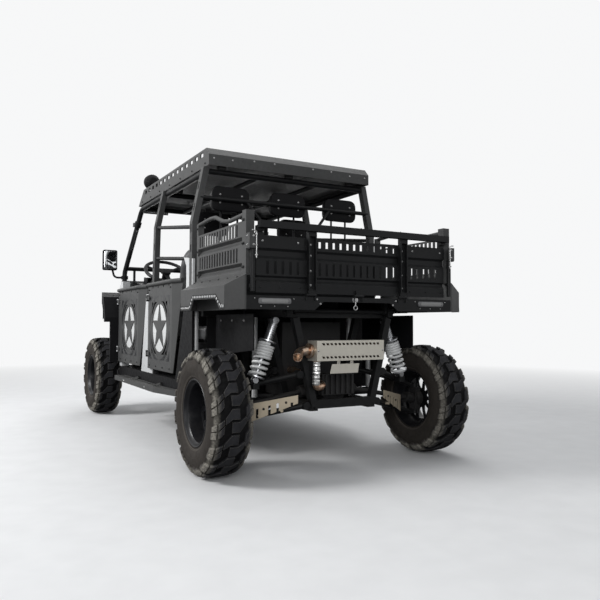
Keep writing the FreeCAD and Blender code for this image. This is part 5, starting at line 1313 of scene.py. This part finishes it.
OUTWARDS = {
    "left": (1, 0, 0),
    "rear": (0, 1, 0),
    "front": (0, -1, 0),
    "top": (0, 0, 1),
    "under": (0, 0, -1),
}
REACH = 0.07
BOLTS = (
    # body, node, way it faces, finish, radius, height, first place, last place, how many, on both sides
    ("chassis", "roof", "rear", "bolt_zinc", 4, 3, (455, 1027, 1912), (585, 1027, 1912), 2, True),
    ("chassis", "roof", "rear", "bolt_zinc", 4, 3, (150, 1027, 1925), (300, 1027, 1925), 2, True),
    ("chassis", "roof", "left", "frame_black", 5, 3.5, (620, -560, 1888), (620, 960, 1888), 7, True),
    ("chassis", "roof", "top", "frame_black", 5, 3, (500, 67, 1896), (500, 67, 1896), 1, True),
    ("chassis", "roof", "top", "frame_black", 5, 3, (500, 930, 1896), (500, 930, 1896), 1, True),
    ("chassis", "cab_panels", "left", "frame_black", 7, 4, (700, 880, 1060), (700, 985, 1060), 2, True),
    ("chassis", "hood", "left", "frame_black", 5, 3, (640, -1300, 985), (640, -1050, 985), 3, True),
    ("chassis", "front_fenders", "top", "frame_black", 5, 3, (700, -1650, 1060), (740, -1080, 1120), 3, True),
    ("chassis", "grille", "front", "frame_black", 5, 3, (-500, -1755, 930), (500, -1755, 930), 6, False),
    ("chassis", "arm_guards", "rear", "frame_black", 5, 4, (360, 1640, 400), (470, 1560, 362), 2, True),
    ("chassis", "heat_shield", "rear", "bolt_zinc", 4, 3, (-200, 1767, 697), (240, 1767, 697), 2, False),
    ("chassis", "heat_shield", "rear", "bolt_zinc", 3, 2.5, (0, 1740, 626), (90, 1740, 626), 2, False),
    ("chassis", "side_steps", "left", "bolt_zinc", 6, 5, (797, -330, 392), (797, 280, 392), 2, True),
    ("chassis", "wheel_wells", "left", "bolt_zinc", 5, 3, (566, 1120, 868), (566, 1470, 868), 3, True),
    ("dump_bed", "bed_tub", "rear", "bolt_zinc", 4, 3, (250, 1803, 960), (272, 1803, 985), 2, True),
    ("dump_bed", "bed_tub", "rear", "bolt_zinc", 2.6, 2, (418, 1803, 984), (652, 1803, 984), 2, True),
    ("dump_bed", "bed_tub", "rear", "bolt_zinc", 2.6, 2, (455, 1803, 943), (615, 1803, 943), 3, True),
    ("dump_bed", "bed_sides", "left", "frame_black", 6, 4, (700, 1751, 1150), (700, 1751, 1400), 3, True),
    ("dump_bed", "bed_sides", "left", "frame_black", 6, 4, (700, 1765, 1150), (700, 1765, 1400), 3, True),
    ("dump_bed", "bed_sides", "left", "frame_black", 5, 4, (700, 1052, 1150), (700, 1052, 1440), 3, True),
    ("dump_bed", "bed_sides", "rear", "bolt_zinc", 4.5, 4, (676, 1839, 1262), (676, 1839, 1308), 2, True),
    ("dump_bed", "bed_sides", "left", "bolt_zinc", 4.5, 4, (700, 1812, 1262), (700, 1812, 1308), 2, True),
    ("dump_bed", "bed_fenders", "left", "bolt_zinc", 3.2, 2.5, (808, 1750, 948), (808, 1735, 948), 2, True),
    ("dump_bed", "bed_fenders", "left", "bolt_zinc", 3.2, 2.5, (808, 1080, 938), (808, 1200, 938), 4, True),
    ("dump_bed", "bed_fenders", "top", "frame_black", 4, 3, (730, 1090, 1110), (730, 1750, 1110), 6, True),
    ("tailgate", "tailgate", "rear", "bolt_zinc", 4.5, 4, (315, 1805, 1062), (315, 1805, 1140), 2, True),
    ("tailgate", "tailgate", "rear", "bolt_zinc", 4.5, 4, (315, 1805, 1224), (315, 1805, 1285), 2, True),
    ("tailgate", "tailgate", "rear", "bolt_zinc", 4, 3, (395, 1806, 1290), (610, 1806, 1290), 2, True),
    ("tailgate", "tailgate", "rear", "frame_black", 4, 3, (380, 1801, 1045), (620, 1801, 1045), 3, True),
    ("tailgate", "tailgate", "top", "frame_black", 5, 3, (-560, 1836, 1392), (560, 1836, 1392), 5, False),
)
DOOR_BOLTS = (
    # door, radius, height, first place, last place, how many
    ("front", 5, 3.5, (720, -905, 1100), (720, -300, 1100), 2),
    ("front", 5, 3, (720, -850, 535), (720, -300, 535), 4),
    ("rear", 5, 3.5, (720, 50, 1100), (720, 575, 1100), 2),
    ("rear", 5, 3, (720, 70, 535), (720, 560, 535), 4),
)
SHELL_BOLT_IN = 62
SHELL_BOLT_UP = 58


def bolt_rows():
    """The rows of bolts, each with whether its heads stand straight out or along the face's normal."""
    for row in BOLTS:
        yield (*row, False)
    for door, *row in DOOR_BOLTS:
        name = "door_" + door + "_{side}"
        yield (name, name, "left", "frame_black", *row, True, True)


def seated_bolts():
    """Bolt heads with washers, each set on its node's own face, gathered by body and finish."""
    groups = {}
    for body, node, faces, finish, radius, height, first, last, count, paired, straight in bolt_rows():
        for side, sign in SIDES if paired else SIDES[:1]:
            out = Vector(OUTWARDS[faces])
            out.x *= sign
            tree = tree_of(node.format(side=side))
            heads = groups.setdefault((body.format(side=side), finish), [])
            start, end = mm(first[0] * sign, *first[1:]), mm(last[0] * sign, *last[1:])
            for n in range(count):
                near = start.lerp(end, n / max(1, count - 1))
                spot, normal, _, _ = tree.ray_cast(near + out * REACH, -out, 2 * REACH)
                if spot is None:
                    print("no face for a bolt", node, side, [round(c * 1000) for c in near])
                    continue
                if straight:
                    normal = out
                elif normal.dot(out) < 0:
                    normal = -normal
                heads.append((spot, normal, radius * 0.001, height * 0.001))
    return groups


def bolt_heads(work, heads):
    for spot, normal, radius, height in heads:
        nut(work, spot, normal, radius * 1.45, 0.0014, 20)
        nut(work, spot, normal, radius, height + 0.0012)
        nut(work, spot, normal, radius * 0.45, height + 0.0030, 10)


def make_bolts():
    groups = seated_bolts()
    for head in HEAD_PADS:
        for x in head.places:
            for dx in (-1, 1):
                for z in (head.low + SHELL_BOLT_UP, head.top - SHELL_BOLT_UP):
                    at = mm(x + dx * (head.half - SHELL_BOLT_IN), head.back, z)
                    groups["chassis", "bolt_zinc"].append((at, Vector((0, 1, 0)), 0.0042, 0.003))
    for (body, finish), heads in groups.items():
        piece_from(f"bolts_{body}_{finish}", lambda work: bolt_heads(work, heads), finish, body, smooth=25)


# Painted shade in the corner slots of the doors

DOOR_STARS = {
    # door: the star's Y
    "front": -566.0,
    "rear": 307.0,
}
STAR_Z = 816.0
DOOR_FACE_X = 720.0
SLOT_INNER_R = 229.0
SLOT_RIB_R = 257.0
SLOT_OUTER_R = 293.0
SLOT_HALF_Y = 246.0
SLOT_HALF_Z = 232.0
SHADE_PLATE_T = 0.7


def arc_points(radius, first, last, steps=9):
    turns = [math.radians(first + (last - first) * n / steps) for n in range(steps + 1)]
    return [(radius * math.cos(a), radius * math.sin(a)) for a in turns]


def slot_outlines():
    """The three slots of one corner, where painted shade goes: above the ring, beside it, and the corner beyond the
    rib.
    """
    top_turn = math.degrees(math.asin(SLOT_HALF_Z / SLOT_RIB_R))
    side_turn = math.degrees(math.acos(SLOT_HALF_Y / SLOT_RIB_R))
    above = arc_points(SLOT_INNER_R, 84, 49) + arc_points(SLOT_RIB_R, 49, top_turn) + [(30.0, SLOT_HALF_Z)]
    beside = arc_points(SLOT_INNER_R, 5, 41) + arc_points(SLOT_RIB_R, 41, side_turn) + [(SLOT_HALF_Y, 20.0)]
    far_top = math.degrees(math.asin(SLOT_HALF_Z / SLOT_OUTER_R))
    far_side = math.degrees(math.acos(SLOT_HALF_Y / SLOT_OUTER_R))
    corner = arc_points(SLOT_OUTER_R, far_side, far_top) + [(SLOT_HALF_Y, SLOT_HALF_Z)]
    return above, beside, corner


def shade_plate(work, points, x, out):
    """A thin black plate laid on a door's face: painted shade in place of the dark seen through a slot."""
    closed_over(work, [[work.verts.new(mm(at, y, z)) for y, z in points] for at in (x, x + out * SHADE_PLATE_T)])


def door_slot_shades(work, star_y, sign):
    # Painted shade: black plates over the slots, for the dark seen through them.
    for up in (1, -1):
        for along in (1, -1):
            for outline in slot_outlines():
                points = [(star_y + y * along, STAR_Z + z * up) for y, z in outline]
                shade_plate(work, points, DOOR_FACE_X * sign, sign)


def make_door_slot_shades():
    for door, star_y in DOOR_STARS.items():
        for side, sign in SIDES:
            piece_from(f"door_slots_{door}_{side}", lambda work: door_slot_shades(work, star_y, sign),
                       "rim_black", f"door_{door}_{side}")


# Exhaust and edge perforations

ARCH_LINE = (
    # Y, Z along the wheel arch's edge of the bed's fenders, in millimetres
    (1060, 926),
    (1233, 926),
    (1284, 987),
    (1634, 982),
    (1707, 926),
    (1763, 926),
)
BAND_OFF = 2.0
BAND_WIDE = 26.0
BAND_X = (808, 809.2)
ARCH_DOTS = 28
DOT_R = 0.0068


def arch_offset(distance):
    """The arch's line moved outwards, by the same distance from every run."""
    out = []
    points = [Vector(p) for p in ARCH_LINE]
    for n, here in enumerate(points):
        normals = []
        for a, b in ((n - 1, n), (n, n + 1)):
            if a >= 0 and b < len(points):
                way = (points[b] - points[a]).normalized()
                normals.append(Vector((-way.y, way.x)))
        middle = sum(normals, Vector((0, 0))).normalized()
        out.append(here + middle * (distance / middle.dot(normals[0])))
    return out


def arch_band(work):
    """A dark strip along the arch's edge, which carries the row of holes."""
    low, high = arch_offset(BAND_OFF), arch_offset(BAND_OFF + BAND_WIDE)
    for sign in (1, -1):
        rows = []
        for inner, outer in zip(low, high):
            rows.append([work.verts.new(mm(x * sign, p.x, p.y)) for p in (inner, outer) for x in BAND_X])
        for a, b in zip(rows, rows[1:]):
            for k, j in ((0, 1), (1, 3), (3, 2), (2, 0)):
                work.faces.new((a[k], a[j], b[j], b[k]))
        for row in (rows[0], rows[-1]):
            work.faces.new((row[0], row[1], row[3], row[2]))


def arch_dots(work):
    """Small pressed holes in a row along that strip."""
    points = arch_offset(BAND_OFF + BAND_WIDE / 2)
    lengths = [(b - a).length for a, b in zip(points, points[1:])]
    for sign in (1, -1):
        for n in range(ARCH_DOTS):
            at = sum(lengths) * (n + 0.5) / ARCH_DOTS
            k = 0
            while at > lengths[k]:
                at -= lengths[k]
                k += 1
            y, z = points[k].lerp(points[k + 1], at / lengths[k])
            nut(work, mm(BAND_X[1] * sign, y, z), Vector((sign, 0, 0)), DOT_R, 0.0005, 12)


FOIL_SEED = 11
FOIL_STEPS = 26
FOIL_R = 0.0222
FOIL_END_R = 0.0216


def foil_wrap(work):
    """Crumpled foil round the riser pipe, tied off at both ends."""
    chance = random.Random(FOIL_SEED)
    low, high = mm(212, 1690.6, 500), mm(212, 1696, 634)
    points = [low.lerp(high, n / FOIL_STEPS) for n in range(FOIL_STEPS + 1)]
    radii = [FOIL_R + 0.0026 * chance.random() for _ in points]
    radii[0] = radii[-1] = FOIL_END_R
    tube_along(work, points, radii, 22)
    for vertex in work.verts:
        share = (vertex.co.z - low.z) / (high.z - low.z)
        axis = low.lerp(high, share)
        off = vertex.co - axis
        if off.length > 0.0218:
            vertex.co = axis + off * (1 + 0.05 * (chance.random() - 0.5))


MUFFLER_AXIS = (1705, 697)
MUFFLER_R = 0.045
MUFFLER_RINGS_X = (-193, -120, 40, 160, 229)
MUFFLER_RING = ((-0.004, 0.0001), (-0.004, 0.003), (0.004, 0.003), (0.004, 0.0001))
OUTLET_X = 268
OUTLET_FLANGE = (
    (-0.005, 0.0272), (-0.005, 0.041), (-0.002, 0.044), (0.004, 0.044), (0.007, 0.041), (0.007, 0.0272),
)


def pipe_rings(work):
    """Rings round the muffler, and the flange at its outlet."""
    for x in MUFFLER_RINGS_X:
        lathe(work, [(a, MUFFLER_R + r) for a, r in MUFFLER_RING], 64, place=mm(x, *MUFFLER_AXIS))
    lathe(work, OUTLET_FLANGE, 64, place=mm(OUTLET_X, *MUFFLER_AXIS))


EYE_R = 0.012
EYE_WIRE_R = 0.0038


def eye_bolt(work):
    """The eye that hangs below the middle of the bed's rear skirt, on its plate and nut."""
    x, z = 20, 971
    slab(work, rounded_box_outline(0.036, 0.024, 0.005), 0.004, 0.001, (0, 1, 0), mm(x, 1803, z + 14))
    tube_along(work, [mm(x, 1809, z + 14), mm(x, 1809, z), mm(x, 1808, z - 16)], 0.004, 12)
    nut(work, mm(x, 1809, z + 6), Vector((0, 0, 1)), 0.009, 0.010)
    nut(work, mm(x, 1807, z + 14), Vector((0, 1, 0)), 0.008, 0.006)
    ring = [(a, EYE_R + r) for a, r in circle(12, EYE_WIRE_R)]
    lathe(work, ring, 28, way=(0, 1, 0), place=mm(x, 1808, z - 30))


LATCH_PIN_R = 0.0034


def latch_pins(work):
    """The sliding pin on each latch plate, with its guides, lever and nut."""
    for side, sign in SIDES:
        x, y = 662 * sign, 1842.8
        low, high = mm(x, y, 1192), mm(x, y, 1330)
        tube_along(work, [low, low.lerp(high, 0.5), high], LATCH_PIN_R, 12)
        tube_along(work, [high, mm(x + 9 * sign, y, 1336), mm(x + 26 * sign, y, 1337)], LATCH_PIN_R, 12)
        for z, r in ((1204, 0.0085), (1256, 0.0065), (1312, 0.0065)):
            nut(work, mm(x, y, z), Vector((0, 0, 1)), r, 0.008)


def make_exhaust_pieces():
    piece_from("latch_pins", latch_pins, "bolt_zinc", "dump_bed", smooth=30)
    piece_from("hanging_eye_bolt", eye_bolt, "bolt_zinc", "dump_bed", smooth=30)
    piece_from("riser_foil", foil_wrap, "foil", "chassis", smooth=20)
    piece_from("pipe_rings", pipe_rings, "bronzed_steel", "chassis", smooth=30)
    piece_from("arch_band", arch_band, "frame_black", "dump_bed", smooth=30)
    piece_from("arch_perforations", arch_dots, "silver_tube", "dump_bed", smooth=30)


make_camera()
make_lamps()
make_world()
make_floor()
dress_frame()
make_wheels()
make_springs()
make_seats()
make_lamp_pieces()
make_mirror_glass()
make_rear_lamps()
make_steering_wheel()
make_dash()
make_bolts()
make_door_slot_shades()
make_exhaust_pieces()

scene = bpy.context.scene
scene.view_settings.view_transform = "Standard"
